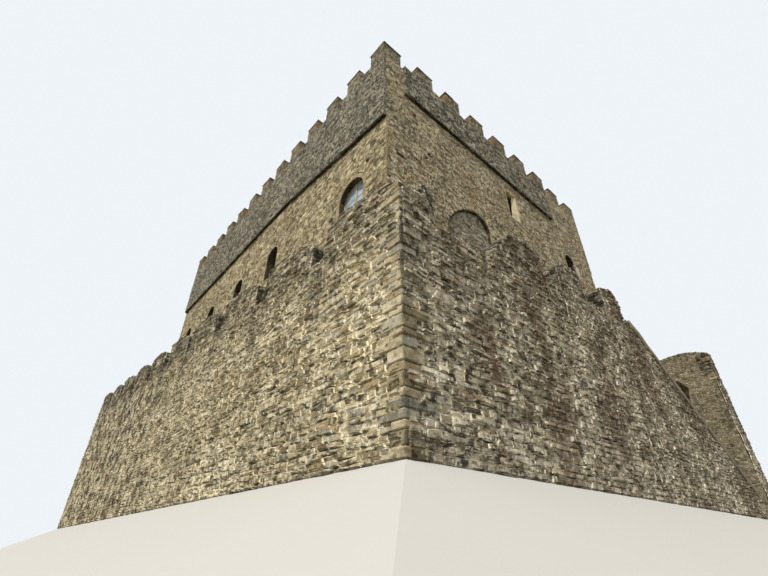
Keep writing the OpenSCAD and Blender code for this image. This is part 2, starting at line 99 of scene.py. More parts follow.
class Socket:
    """A shader socket that takes part in Python expressions."""

    def __init__(self, shader: "Shader", socket: bpy.types.NodeSocket) -> None:
        """Wraps a socket of one material's tree."""
        self.shader = shader
        self.socket = socket

    def __add__(self, other: "Socket | float") -> "Socket":
        """Adds."""
        return self.shader.maths("ADD", self, other)

    __radd__ = __add__

    def __sub__(self, other: "Socket | float") -> "Socket":
        """Subtracts."""
        return self.shader.maths("SUBTRACT", self, other)

    def __rsub__(self, other: "Socket | float") -> "Socket":
        """Subtracts this socket from a number."""
        return self.shader.maths("SUBTRACT", other, self)

    def __mul__(self, other: "Socket | float") -> "Socket":
        """Multiplies."""
        return self.shader.maths("MULTIPLY", self, other)

    __rmul__ = __mul__

    def __truediv__(self, other: "Socket | float") -> "Socket":
        """Divides."""
        return self.shader.maths("DIVIDE", self, other)

    def most(self, other: "Socket | float") -> "Socket":
        """Takes the larger of the two."""
        return self.shader.maths("MAXIMUM", self, other)

    def step(self, low: float, high: float) -> "Socket":
        """Rises smoothly from 0 at low to 1 at high.

        Args:
            low: The value where the rise starts.
            high: The value where it ends; lower than low turns the step round.

        Returns:
            The masked value.
        """
        return self.shader.node(
            "ShaderNodeMapRange", {"interpolation_type": "SMOOTHSTEP"},
            {"Value": self, "From Min": low, "From Max": high, "To Min": 0.0, "To Max": 1.0})


class Shader:
    """The node tree of one material, or of the world."""

    def __init__(self, owner: bpy.types.Material | bpy.types.World) -> None:
        """Empties the tree of a material or of the world.

        Args:
            owner: The material, or the world.
        """
        owner.use_nodes = True
        self.owner = owner
        self.tree = owner.node_tree
        self.tree.nodes.clear()

    @classmethod
    def named(cls, name: str) -> "Shader":
        """Starts a new material."""
        return cls(bpy.data.materials.new(name + SUFFIX))

    def node(self, kind: str, settings: dict | None = None, inputs: dict | None = None,
             out: int | str = 0) -> Socket:
        """Adds any node.

        Args:
            kind: The node's type.
            settings: Its own settings, set before its sockets; "stops" is a ramp's list.
            inputs: Values, colours or sockets by the input's name or place.
            out: The output to hand back.

        Returns:
            The chosen output.
        """
        made = self.tree.nodes.new(kind)
        for key, value in (settings or {}).items():
            if key == "stops":
                ramp = made.color_ramp
                while len(ramp.elements) < len(value):
                    ramp.elements.new(0.5)
                for stop, (place, colour) in zip(ramp.elements, value):
                    stop.position = place
                    stop.color = colour
            else:
                setattr(made, key, value)
        for key, value in (inputs or {}).items():
            if isinstance(value, Socket):
                self.tree.links.new(value.socket, made.inputs[key])
            else:
                made.inputs[key].default_value = value
        outputs = [one for one in made.outputs if one.enabled] if isinstance(out, int) else made.outputs
        return Socket(self, outputs[out])

    def maths(self, operation: str, *values: Socket | float) -> Socket:
        """Adds a Math node that takes the values in order."""
        return self.node("ShaderNodeMath", {"operation": operation}, dict(enumerate(values)))

    def vectors(self, operation: str, *values: Socket | Sequence[float]) -> Socket:
        """Adds a Vector Math node that takes the vectors in order."""
        return self.node("ShaderNodeVectorMath", {"operation": operation}, dict(enumerate(values)))

    @cached_property
    def place(self) -> Socket:
        """The Object coordinates, which are the model's own metres."""
        return self.node("ShaderNodeTexCoord", out="Object")

    def attribute(self, name: str) -> Socket:
        """Reads a number that the mesh carries."""
        return self.node("ShaderNodeAttribute", {"attribute_name": name}, out="Fac")

    def kind(self, tint: Socket) -> Socket:
        """Draws a second, unrelated number from a stone's tint."""
        return self.maths("FRACT", tint * SECOND_DRAW)

    def axis(self, name: str) -> Socket:
        """Gives one axis of the Object coordinates."""
        return self.node("ShaderNodeSeparateXYZ", None, {0: self.place}, out=name)

    def seen(self) -> Socket:
        """Gives 1 to what the camera sees, also in a reflection or through glass.

        Returns:
            The mask.
        """
        camera, glossy, clear = (self.node("ShaderNodeLightPath", out=f"Is {ray} Ray")
                                 for ray in ("Camera", "Glossy", "Transmission"))
        return camera.most(glossy).most(clear)

    def noise(self, scale: float, detail: float = 3.0, rough: float = 0.55,
              stretch: Sequence[float] = (1.0, 1.0, 1.0)) -> Socket:
        """Adds noise in the model's metres.

        Args:
            scale: Waves per metre.
            detail: Octaves.
            rough: Strength of the finer octaves.
            stretch: Multiplier of each axis.

        Returns:
            The noise, near 0.5 on average.
        """
        return self.node("ShaderNodeTexNoise", None,
                         {"Vector": self.vectors("MULTIPLY", self.place, tuple(stretch)),
                          "Scale": scale, "Detail": detail, "Roughness": rough})

    def mix(self, share: Socket | float, first: Socket | Colour, second: Socket | Colour,
            how: str = "MIX") -> Socket:
        """Mixes two colours.

        Args:
            share: Amount of the second colour.
            first: The colour at 0, as a socket or in sRGB.
            second: The colour at 1, as a socket or in sRGB.
            how: The blend's name.

        Returns:
            The mixed colour.
        """
        first, second = (end if isinstance(end, Socket) else linear(end) for end in (first, second))
        return self.node("ShaderNodeMix", {"data_type": "RGBA", "blend_type": how},
                         {MIX_SHARE: share, MIX_FIRST: first, MIX_SECOND: second})

    def ramp(self, value: Socket, stops: Sequence[tuple[float, Colour]]) -> Socket:
        """Colours a value.

        Args:
            value: The value to read.
            stops: Places and their sRGB colours.

        Returns:
            The colour.
        """
        listed = [(place, linear(colour)) for place, colour in stops]
        return self.node("ShaderNodeValToRGB", {"stops": listed}, {0: value}, out="Color")

    def bump(self, height: Socket, distance: float, strength: float = 1.0) -> Socket:
        """Turns a height into a normal."""
        return self.node("ShaderNodeBump", None,
                         {"Height": height, "Distance": distance, "Strength": strength})

    def surface(self, colour: Socket, roughness: Socket | float, gloss: float,
                normal: Socket | None = None, alpha: Socket | float = 1.0) -> bpy.types.Material:
        """Ends the tree with a Principled surface.

        Args:
            colour: The base colour.
            roughness: Its roughness.
            gloss: Its specular level.
            normal: The bumped normal, if any.
            alpha: How much of the surface is there.

        Returns:
            The finished material.
        """
        inputs = {"Base Color": colour, "Roughness": roughness, "Specular IOR Level": gloss, "Alpha": alpha}
        if normal is not None:
            inputs["Normal"] = normal
        self.end("ShaderNodeOutputMaterial", self.node("ShaderNodeBsdfPrincipled", None, inputs))
        return self.owner

    def end(self, kind: str, shader: Socket) -> None:
        """Links a shader to the tree's output."""
        made = self.tree.nodes.new(kind)
        self.tree.links.new(shader.socket, made.inputs["Surface"])


# ---------------------------------------------------------------- finishes

# Noises as waves per metre, octaves and strength of the finer octaves
GRIT = (48.0, 4.0, 0.7)
FINE = (13.0, 6.0, 0.65)
RAGGED = (15.0, 5.0, 0.7)
SPOTS = (5.5, 8.0, 0.72)
MIDDLE = (3.1, 5.0, 0.6)
BROAD = (0.55, 4.0, 0.6)


@dataclass(frozen=True)
class RubbleFinish:
    """Rubble walling: stones of mixed colour, ragged mortar, dark open joints partly painted as shadow,
    lichen and stains.
    """

    name: str
    stones: tuple[Colour, ...]
    mortar: Colour = (176, 163, 129)
    lichen: Colour = (66, 62, 54)
    lichen_share: float = 0.25
    smear: float = 0.25
    warm: Colour = (170, 138, 102)
    warm_share: float = 0.05
    cool: Colour = (142, 143, 130)
    cool_share: float = 0.06
    # Colour of the open joints, partly bare joints and partly painted shadow under the stones
    open_joint: Colour = (52, 45, 35)
    gap_share: float = 0.4
    pale: Colour = (214, 206, 180)
    pale_share: float = 0.55
    shade: Colour = (84, 74, 57)
    shade_share: float = 0.6
    fleck: float = 7.0
    rust: Colour = (146, 108, 60)
    rust_share: float = 0.0
    dark_deep: float = 0.0
    dark_share: float = 0.0
    moss: Colour = (104, 104, 62)
    moss_share: float = 0.08
    streak: Colour = (96, 74, 52)
    streak_share: float = 0.0
    blot: Colour = (96, 92, 76)
    blot_share: float = 0.0
    blotted: Pair = (9.0, -3.0)
    grime: Colour = (96, 86, 68)
    wash: Colour = (128, 116, 90)
    drawn: bool = False
    stone_size: Triple = (0.26, 0.26, 0.115)
    waver: Triple = (0.12, 0.12, 0.10)

    def cells(self, sh: Shader) -> tuple[Socket, Socket]:
        """Gives the stones' tint and their joints, from the mesh or drawn on a plain solid.

        Args:
            sh: The material's tree.

        Returns:
            Each stone's tint, and a mask of the joints.
        """
        if not self.drawn:
            return sh.attribute("stone_tint"), sh.attribute("joint")
        wavy = sh.node("ShaderNodeTexNoise", None, {"Vector": sh.place, "Scale": 1.7, "Detail": 2.0},
                       out="Color")
        cells = sh.vectors("DIVIDE", sh.vectors("MULTIPLY_ADD", wavy, self.waver, sh.place),
                           self.stone_size)
        stone, edge = (
            sh.node("ShaderNodeTexVoronoi", {"feature": feature}, {"Vector": cells, "Scale": 1.0}, out=out)
            for feature, out in (("F1", "Color"), ("DISTANCE_TO_EDGE", "Distance")))
        return sh.node("ShaderNodeSeparateColor", None, {0: stone}), edge.step(0.10, 0.02)

    def stone_colour(self, sh: Shader, tint: Socket, fine: Socket, flecks: Socket) -> Socket:
        """Colours the stones.

        Args:
            sh: The material's tree.
            tint: Each stone's tint.
            fine: The fine noise.
            flecks: The noise of the pale and dark flecks.

        Returns:
            The colour of the bare stones.
        """
        last = len(self.stones) - 1
        colour = sh.ramp(tint, [(round(i / last * 0.9 + 0.05, 3), stone)
                                for i, stone in enumerate(self.stones)])
        kind = sh.kind(tint)
        colour = sh.mix(kind.step(0.99 - self.warm_share, 1.0 - self.warm_share) * 0.6, colour, self.warm)
        colour = sh.mix(kind.step(self.cool_share + 0.01, self.cool_share) * 0.6, colour, self.cool)
        colour = sh.mix(fine.step(0.35, 0.8) * 0.5, colour, self.grime, "MULTIPLY")
        colour = sh.mix(flecks.step(0.55, 0.64) * self.pale_share, colour, self.pale)
        return sh.mix(flecks.step(0.46, 0.38) * self.shade_share, colour, self.shade, "MULTIPLY")

    def pointed(self, sh: Shader, colour: Socket, joint: Socket) -> Socket:
        """Adds the mortar, which is ragged and smeared over some stones, with dark open joints where it is
        missing that are partly painted shadow under the stones.

        Args:
            sh: The material's tree.
            colour: The colour of the stones.
            joint: The mask of the joints.

        Returns:
            The colour of the pointed wall.
        """
        smear = sh.noise(0.9, 3.0, 0.6).step(0.38, 0.6) * sh.noise(6.5, 5.0, 0.7).step(0.46, 0.58)
        # Open joints painted dark in thin level streaks: partly bare joints, partly painted shadow under
        # the stones
        bare_and_shaded = sh.noise(4.3, 4.0, 0.65, (1.0, 1.0, 2.2)).step(0.46, 0.62) * self.gap_share
        share = (joint + (sh.noise(*RAGGED) - 0.5) * 1.1).step(0.25, 0.7)
        return sh.mix(share.most(smear * self.smear), colour, sh.mix(bare_and_shaded, self.mortar, self.open_joint))

    def weathered(self, sh: Shader, colour: Socket, broad: Socket, spots: Socket) -> Socket:
        """Adds lichen, mottle that is partly painted shade and highlight, streaks, the dark band under the
        wall's top, moss and rust.

        Args:
            sh: The material's tree.
            colour: The colour so far.
            broad: The broad noise.
            spots: The noise of the lichen's spots.

        Returns:
            The weathered colour.
        """
        lichen = spots.step(0.5, 0.62) * broad.step(0.38, 0.62)
        colour = sh.mix(lichen * self.lichen_share * 2.0, colour, self.lichen)
        if self.blot_share:
            # Darker and paler patches towards the far left: partly mottled mortar, partly painted shade and
            # highlight of bulges
            away = sh.axis("X").step(*self.blotted)
            mottle_light_and_shade = sh.noise(2.1, 3.0, 0.55)
            colour = sh.mix(away * mottle_light_and_shade.step(0.5, 0.42) * self.blot_share, colour, self.blot, "MULTIPLY")
            colour = sh.mix(away * mottle_light_and_shade.step(0.53, 0.62) * self.blot_share * 0.8, colour, self.pale)
        if self.streak_share:
            streaks = sh.noise(0.5, 5.0, 0.62, (1.0, 1.0, 0.45)).step(0.5, 0.62)
            colour = sh.mix(streaks * spots.step(0.3, 0.5) * self.streak_share, colour, self.streak)
        if self.dark_share:
            deep = sh.attribute("top_gap") + (broad - 0.5) * 2.4
            band = deep.step(self.dark_deep, self.dark_deep * 0.4)
            colour = sh.mix(band * spots.step(0.36, 0.56) * self.dark_share, colour, self.lichen)
        colour = sh.mix(sh.noise(2.3, 6.0, 0.7).step(0.58, 0.72) * self.moss_share * 3.0, colour, self.moss)
        colour = sh.mix(broad.step(0.35, 0.7) * 0.2, colour, self.wash, "MULTIPLY")
        if self.rust_share:
            rust = sh.noise(0.42, 2.0, 0.4).step(0.52, 0.62) * spots.step(0.36, 0.56)
            colour = sh.mix(rust * self.rust_share, colour, self.rust)
        return colour

    def build(self) -> bpy.types.Material:
        """Builds the material.

        Returns:
            The material.
        """
        sh = Shader.named(self.name)
        tint, joint = self.cells(sh)
        fine, flecks = sh.noise(*FINE), sh.noise(self.fleck, 3.0, 0.6)
        colour = self.pointed(sh, self.stone_colour(sh, tint, fine, flecks), joint)
        colour = self.weathered(sh, colour, sh.noise(*BROAD), sh.noise(*SPOTS))
        relief = fine * 0.6 + sh.noise(*GRIT) * 0.25 + sh.noise(*MIDDLE) * 0.6 + flecks * 0.6
        if self.drawn:
            relief = relief + (1.0 - joint) * 1.2
        return sh.surface(colour, 0.93, 0.2, sh.bump(relief, 0.035 if self.drawn else 0.025, 0.9))


@dataclass(frozen=True)
class SlabFinish:
    """Dressed stone: slabs, sills, bricks and corner stones, with dark lichen."""

    name: str
    low: Colour
    high: Colour
    stain: Colour
    stain_share: float
    other: Colour = (160, 134, 100)
    other_share: float = 0.0
    grime: Colour = (106, 96, 76)

    def build(self) -> bpy.types.Material:
        """Builds the material.

        Returns:
            The material.
        """
        sh = Shader.named(self.name)
        tint = sh.attribute("stone_tint")
        colour = sh.ramp(tint, [(0.05, self.low), (0.95, self.high)])
        colour = sh.mix(sh.kind(tint).step(self.other_share + 0.01, self.other_share) * 0.7, colour,
                        self.other)
        fine = sh.noise(17.0, 6.0, 0.65)
        colour = sh.mix(fine.step(0.4, 0.75) * 0.4, colour, self.grime, "MULTIPLY")
        spots = sh.noise(6.0, 8.0, 0.75).step(0.46, 0.6) * sh.noise(1.1, 3.0).step(0.36, 0.6)
        colour = sh.mix(spots * self.stain_share * 1.6, colour, self.stain)
        return sh.surface(colour, 0.9, 0.25, sh.bump(fine * 0.5 + sh.noise(60.0, 3.0) * 0.3, 0.015, 0.9))


@dataclass(frozen=True)
class PlasterFinish:
    """Old lime plaster, flaked and stained."""

    name: str
    colour: Colour = (206, 194, 160)
    stain: Colour = (140, 126, 98)
    speck: Colour = (110, 98, 76)

    def build(self) -> bpy.types.Material:
        """Builds the material.

        Returns:
            The material.
        """
        sh = Shader.named(self.name)
        patches = sh.noise(4.0, 6.0, 0.65)
        colour = sh.mix(patches.step(0.45, 0.68) * 0.7, self.colour, self.stain)
        colour = sh.mix(sh.noise(30.0, 4.0).step(0.55, 0.75) * 0.4, colour, self.speck)
        return sh.surface(colour, 0.92, 0.25, sh.bump(patches + sh.noise(40.0, 4.0) * 0.3, 0.012, 0.7))


@dataclass(frozen=True)
class TileFinish:
    """Weathered clay tiles, each a little different, with lichen."""

    name: str
    tiles: tuple[tuple[float, Colour], ...] = (
        (0.0, (98, 68, 52)), (0.35, (128, 88, 66)), (0.7, (146, 104, 78)), (1.0, (158, 128, 102)))
    lichen: Colour = (92, 84, 68)
    stain: Colour = (112, 92, 70)

    def build(self) -> bpy.types.Material:
        """Builds the material.

        Returns:
            The material.
        """
        sh = Shader.named(self.name)
        colour = sh.ramp(sh.attribute("stone_tint"), self.tiles)
        colour = sh.mix(sh.noise(9.0, 7.0, 0.7).step(0.5, 0.66) * 0.55, colour, self.lichen)
        colour = sh.mix(sh.noise(1.3, 4.0).step(0.5, 0.75) * 0.5, colour, self.stain)
        return sh.surface(colour, 0.85, 0.3, sh.bump(sh.noise(40.0, 4.0), 0.006, 0.6))


@dataclass(frozen=True)
class TimberFinish:
    """Timber along one axis: bare boards or faded paint with the grain showing."""

    name: str
    colour: Colour
    dark: Colour
    along: int
    board_w: float = 0.0
    gap: Colour = (30, 24, 18)
    dust: Colour = (92, 86, 74)

    def build(self) -> bpy.types.Material:
        """Builds the material.

        Returns:
            The material.
        """
        sh = Shader.named(self.name)
        grain = sh.noise(1.0, 6.0, 0.65, [1.6 if axis == self.along else 26.0 for axis in range(3)])
        colour = sh.mix(grain.step(0.42, 0.68), self.colour, self.dark)
        relief = grain * 0.6
        if self.board_w:
            boards = sh.axis("YX"[self.along]) / self.board_w
            gap = sh.maths("ABSOLUTE", sh.maths("FRACT", boards) - 0.5).step(0.47, 0.495)
            shade = sh.node("ShaderNodeTexWhiteNoise", {"noise_dimensions": "1D"},
                            {"W": sh.maths("FLOOR", boards)}, out="Value")
            colour = sh.mix(gap, sh.mix(shade * 0.45, colour, self.dark), self.gap)
            relief = relief - gap * 1.5
        colour = sh.mix(sh.noise(1.4, 4.0).step(0.5, 0.75) * 0.35, colour, self.dust)
        return sh.surface(colour, 0.72, 0.3, sh.bump(relief, 0.006, 0.8))


@dataclass(frozen=True)
class GlassFinish:
    """Old window glass, a little dusty."""

    name: str
    colour: Colour = (172, 196, 210)
    dust: Colour = (190, 200, 206)

    def build(self) -> bpy.types.Material:
        """Builds the material.

        Returns:
            The material.
        """
        sh = Shader.named(self.name)
        dust = sh.noise(6.0, 5.0, 0.7)
        colour = sh.mix(dust.step(0.4, 0.7) * 0.5, self.colour, self.dust)
        return sh.surface(colour, dust.step(0.35, 0.8) * 0.25 + 0.08, 0.6,
                          alpha=0.8 + dust.step(0.4, 0.75) * 0.25)


@dataclass(frozen=True)
class HollowFinish:
    """The unlit inside of a small hole in the walling."""

    name: str
    low: Colour = (30, 26, 20)
    high: Colour = (58, 50, 38)

    def build(self) -> bpy.types.Material:
        """Builds the material.

        Returns:
            The material.
        """
        sh = Shader.named(self.name)
        dirt = sh.noise(20.0, 5.0, 0.7)
        colour = sh.mix(dirt.step(0.45, 0.7), self.low, self.high)
        return sh.surface(colour, 0.95, 0.1, sh.bump(dirt, 0.01, 0.8))


class Finish(Enum):
    """Every finish of the building."""

    FRONT = RubbleFinish(
        "front_rubble", ((112, 99, 72), (154, 140, 105), (182, 168, 132), (222, 210, 172)),
        warm_share=0.04)
    SIDE = RubbleFinish(
        "side_rubble", ((106, 95, 74), (148, 136, 108), (174, 161, 131), (208, 196, 165)),
        (164, 151, 123), smear=0.25, lichen_share=0.15, warm_share=0.03, streak=(150, 128, 88),
        streak_share=0.4, pale=(232, 225, 202), pale_share=0.7, fleck=8.0)
    BAND = RubbleFinish(
        "parapet_rubble", ((66, 63, 54), (102, 99, 85), (130, 126, 109), (178, 172, 152)),
        (118, 114, 97), smear=0.15, lichen_share=0.35, moss_share=0.12, warm_share=0.03, pale_share=0.75,
        fleck=8.0)
    MERLON = RubbleFinish(
        "merlon_stone", ((92, 86, 71), (120, 113, 94), (142, 133, 110), (172, 161, 135)),
        (130, 121, 100), smear=0.15, lichen_share=0.35, rust_share=0.2, moss_share=0.14, warm_share=0.02)
    MERLON_END = RubbleFinish(
        "merlon_end", ((106, 93, 70), (132, 116, 88), (156, 138, 106), (184, 168, 134)),
        (140, 126, 98), smear=0.1, lichen_share=0.25, rust_share=0.75, moss_share=0.15)
    CURTAIN_FRONT = RubbleFinish(
        "curtain_front_rubble", ((118, 105, 78), (158, 143, 110), (190, 175, 140), (220, 206, 172)),
        (250, 241, 212), smear=0.8, lichen_share=0.28, dark_deep=2.2, dark_share=0.6, blot_share=0.7,
        warm=(182, 154, 118), cool=(174, 172, 158), cool_share=0.18, gap_share=0.8, fleck=4.8,
        pale_share=0.7, pale=(228, 217, 186), shade_share=0.8)
    CURTAIN_RIGHT = RubbleFinish(
        "curtain_right_rubble", ((100, 91, 74), (142, 131, 108), (174, 163, 138), (210, 200, 174)),
        (240, 233, 212), smear=0.7, lichen=(76, 64, 50), lichen_share=0.3, dark_deep=2.4, dark_share=0.45,
        cool=(204, 190, 176), cool_share=0.16, streak_share=0.65, moss_share=0.12, gap_share=0.9,
        fleck=6.2, pale_share=0.8, pale=(232, 226, 206), shade_share=0.85)
    CURTAIN_PLAIN = RubbleFinish(
        "curtain_rubble", ((96, 88, 72), (124, 116, 94), (148, 138, 114), (176, 166, 138)),
        (196, 187, 160), smear=0.45, lichen_share=0.4, dark_deep=2.0, dark_share=0.45,
        gap_share=0.6, fleck=8.0)
    # The keep's solid walls: dark rubble that is partly painted shade in the window reveals and under the
    # bands
    CORE = RubbleFinish(
        "wall_core", ((58, 51, 40), (78, 70, 55), (94, 85, 67), (116, 106, 85)),
        (98, 90, 72), drawn=True, smear=0.2, pale_share=0.15, warm_share=0.0)
    CORE_CURTAIN = RubbleFinish(
        "curtain_core", ((94, 86, 70), (120, 111, 90), (144, 134, 110), (170, 160, 132)),
        (160, 150, 124), drawn=True, smear=0.35, lichen_share=0.4, warm_share=0.0)
    INFILL = RubbleFinish(
        "infill_rubble", ((112, 106, 94), (140, 133, 116), (162, 154, 135), (194, 186, 164)),
        (174, 166, 146), smear=0.3, lichen_share=0.15)
    # Dark stones under the bands: partly soot, partly painted shade under the bands' overhang
    SOFFIT = RubbleFinish(
        "band_foot", ((46, 40, 32), (58, 51, 41), (72, 64, 51), (88, 79, 63)), (60, 53, 43), smear=0.1,
        pale_share=0.1, warm_share=0.0)
    PAVING = RubbleFinish(
        "walk_paving", ((104, 97, 80), (130, 122, 101), (150, 141, 118), (172, 163, 138)),
        (120, 112, 90), smear=0.1, lichen_share=0.3, moss_share=0.2)
    COPING = SlabFinish("coping_stone", (46, 41, 35), (76, 67, 54), (34, 32, 28), 0.6)
    KEEP_CORNER = SlabFinish("keep_corner_stone", (118, 105, 81), (172, 157, 124), (92, 84, 68), 0.3)
    RIM = SlabFinish("rim_stone", (150, 138, 108), (188, 176, 142), (110, 98, 76), 0.3)
    BRICK = SlabFinish("window_brick", (156, 141, 110), (186, 170, 135), (126, 108, 80), 0.25,
                       (166, 144, 110), 0.3)
    QUOIN_FRONT = RubbleFinish(
        "corner_stone_front", ((70, 65, 54), (128, 118, 94), (184, 170, 136), (220, 208, 174)),
        (240, 232, 204), smear=0.5, lichen_share=0.2, warm=(176, 154, 120), warm_share=0.03,
        cool=(158, 158, 146), cool_share=0.2, gap_share=0.6, fleck=4.5, pale_share=0.35, shade_share=0.45)
    QUOIN_SIDE = RubbleFinish(
        "corner_stone", ((96, 89, 73), (130, 121, 99), (152, 142, 117), (180, 169, 141)),
        (196, 187, 160), smear=0.4, lichen_share=0.35, fleck=5.0, pale_share=0.35, shade_share=0.5)
    CROWN = RubbleFinish(
        "crown_stone", ((48, 46, 40), (80, 76, 65), (114, 108, 93), (160, 152, 132)), (120, 113, 94),
        smear=0.1, lichen_share=0.4, warm_share=0.0, pale_share=0.4, fleck=6.0)
    SILL = SlabFinish("sill_stone", (84, 76, 62), (108, 99, 82), (50, 46, 38), 0.5)
    PLASTER = PlasterFinish("lime_plaster")
    RUBBED = PlasterFinish("rubbed_plaster", (166, 155, 122), (134, 121, 94))
    RAKE_PLASTER = PlasterFinish("rake_plaster", (132, 123, 102), (84, 77, 62))
    TILE = TileFinish("roof_tile")
    BOARDS = TimberFinish("floor_timber", (112, 84, 58), (74, 54, 36), 0, 0.22)
    JOINERY = TimberFinish("window_timber", (196, 182, 150), (128, 112, 86), 2)
    GLASS = GlassFinish("window_glass")
    HOLLOW = HollowFinish("hollow")

    def material(self) -> bpy.types.Material:
        """Gives the built material, made once."""
        made = bpy.data.materials.get(self.value.name + SUFFIX)
        return made or self.value.build()


# ---------------------------------------------------------------- geometry tools

# Attributes that a piece's mesh carries for its finish
TINT, GAP, JOINT = "stone_tint", "top_gap", "joint"
# Half the width of the joint between two dressed stones
HALF_JOINT = 0.004
# Distance along a wall from which every stone is finely cut
EVERYWHERE = -99.0


class Side(Enum):
    """A side of the building, by its turn from the front in degrees."""

    FRONT = 0
    RIGHT = 90
    REAR = 180
    LEFT = 270

    @property
    def word(self) -> str:
        """The side's name as the pieces' names have it."""
        return self.name.lower()

    @property
    def long(self) -> bool:
        """Whether it is one of the two long sides."""
        return self in (Side.FRONT, Side.REAR)

    @property
    def near(self) -> bool:
        """Whether it is one of the two sides that the camera faces."""
        return self in (Side.FRONT, Side.RIGHT)

    def turned(self, degrees: int) -> "Side":
        """Gives the side that lies a turn further round."""
        return Side((self.value + degrees) % 360)

    def plane(self, out: float) -> Matrix:
        """Gives the plane of a wall's face.

        Args:
            out: Distance of the face from the middle of the plan, outwards.

        Returns:
            The matrix from along, up and outward lengths to the model's axes.
        """
        stand = Matrix(((1, 0, 0, 0), (0, 0, -1, -out), (0, 1, 0, 0), (0, 0, 0, 1)))
        return Matrix.Rotation(math.radians(self.value), 4, "Z") @ stand


@dataclass(frozen=True)
class Opening:
    """An opening in a face: round-headed, or square where spring is None."""

    along: float
    sill: float
    width: float
    spring: float | None
    height: float = 0.0
    ring: float = 0.12

    @property
    def top(self) -> float:
        """The opening's highest level."""
        return self.sill + (self.height if self.spring is None else self.spring + self.width / 2)

    def sides(self, level: float, grow: float) -> Pair | None:
        """Finds the opening's two sides at a level.

        Args:
            level: The level.
            grow: Length that the opening is grown by all round.

        Returns:
            The left and right places, or None above and below it.
        """
        if not self.sill - grow <= level <= self.top + grow:
            return None
        reach = self.width / 2 + grow
        if self.spring is not None and level > self.sill + self.spring:
            over = level - self.sill - self.spring
            reach = math.sqrt(max(reach * reach - over * over, 0.0))
        return self.along - reach, self.along + reach

    def holds(self, along: float, level: float, grow: float) -> bool:
        """Says whether a point lies in the opening."""
        sides = self.sides(level, grow)
        return sides is not None and sides[0] + 1e-5 < along < sides[1] - 1e-5

    def pushed(self, along: float, level: float, grow: float) -> Pair | None:
        """Moves a point out of the opening.

        Args:
            along: The point's place along the face.
            level: The point's level.
            grow: Length that the opening is grown by all round.

        Returns:
            The point on the opening's edge, or None where it was outside.
        """
        if not self.holds(along, level, grow):
            return None
        if self.spring is not None and level > self.sill + self.spring:
            off, over = along - self.along, level - self.sill - self.spring
            share = (self.width / 2 + grow) / (math.hypot(off, over) or 1e-6)
            return self.along + off * share, self.sill + self.spring + over * share
        left, right = self.sides(level, grow)
        ways = [(along - left, (left, level)), (right - along, (right, level)),
                (level - self.sill + grow, (along, self.sill - grow))]
        if self.spring is None:
            ways.append((self.top + grow - level, (along, self.top + grow)))
        return min(ways)[1]


@dataclass(frozen=True)
class SunkenArch(Opening):
    """The walled-up arch, with its crown off the middle and its near spring sunk."""

    low_spring: float = 0.9
    crown: float = 3.13
    crown_off: float = 0.66

    @property
    def top(self) -> float:
        """The arch's highest level."""
        return self.sill + self.crown

    def flank(self, hand: int) -> Triple:
        """Gives one flank's run from the crown, its spring and its bulge.

        Args:
            hand: 1 for the right flank, -1 for the left.

        Returns:
            The run, the height of the spring over the sill, and the power of the curve.
        """
        if hand > 0:
            return self.width / 2 - self.crown_off, self.spring, 2.6
        return self.width / 2 + self.crown_off, self.low_spring, 1.6

    def head(self, along: float) -> float:
        """Gives the level of the arch's underside at a place.

        Args:
            along: The place along the face.

        Returns:
            The level.
        """
        off = along - self.along - self.crown_off
        run, spring, power = self.flank(1 if off > 0 else -1)
        share = min(abs(off) / run, 1.0) ** (power / 2)
        return self.sill + spring + (self.crown - spring) * math.sqrt(1 - share * share) ** (2 / power)

    def sides(self, level: float, grow: float) -> Pair | None:
        """Finds the arch's two sides at a level.

        Args:
            level: The level.
            grow: Length that the arch is grown by all round.

        Returns:
            The left and right places, or None above and below it.
        """
        if not self.sill - grow <= level <= self.top + grow:
            return None
        ends = []
        for hand in (-1, 1):
            run, spring, power = self.flank(hand)
            share = (level - self.sill - spring - grow) / (self.crown - spring)
            share = min(max(share, 0.0), 1.0) ** (power / 2)
            reach = run * math.sqrt(1 - share * share) ** (2 / power) + grow
            ends.append(self.along + self.crown_off + hand * reach)
        return ends[0], ends[1]

    def pushed(self, along: float, level: float, grow: float) -> Pair | None:
        """Moves a point out of the arch, to its nearer side or up to its head.

        Args:
            along: The point's place along the face.
            level: The point's level.
            grow: Length that the arch is grown by all round.

        Returns:
            The point on the arch's edge, or None where it was outside.
        """
        if not self.holds(along, level, grow):
            return None
        left, right = self.sides(level, grow)
        return min((along - left, (left, level)), (right - along, (right, level)),
                   (self.head(along) + grow - level, (along, self.head(along) + grow)))[1]


class Grade(Enum):
    """How finely stones are cut."""

    PLAIN = "plain"
    WORN = "worn"


def placed(name: str, data: bpy.types.ID) -> bpy.types.Object:
    """Puts a mesh, lamp or camera into the scene.

    Args:
        name: The name of its object.
        data: The mesh, lamp or camera.

    Returns:
        The object.
    """
    made = bpy.data.objects.new(name, data)
    bpy.context.scene.collection.objects.link(made)
    return made


def finish_piece(name: str, bm: bmesh.types.BMesh, finish: Finish,
                 replaces: Sequence[str] = (), smooth: bool = False) -> None:
    """Turns a bmesh into a piece that rides on the building.

    Args:
        name: The piece's name.
        bm: The mesh, in the model's frame; it is freed.
        finish: Its finish.
        replaces: CAD nodes that it stands for.
        smooth: Whether its faces are smooth.
    """
    mesh = bpy.data.meshes.new(name)
    for face in bm.faces:
        face.smooth = smooth
    bm.to_mesh(mesh)
    bm.free()
    mesh.materials.append(finish.material())
    piece = placed(name, mesh)
    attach(piece, "root")
    if replaces:
        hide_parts(*replaces)
    log.info("%s: %d triangles", name, sum(len(face.vertices) - 2 for face in mesh.polygons))


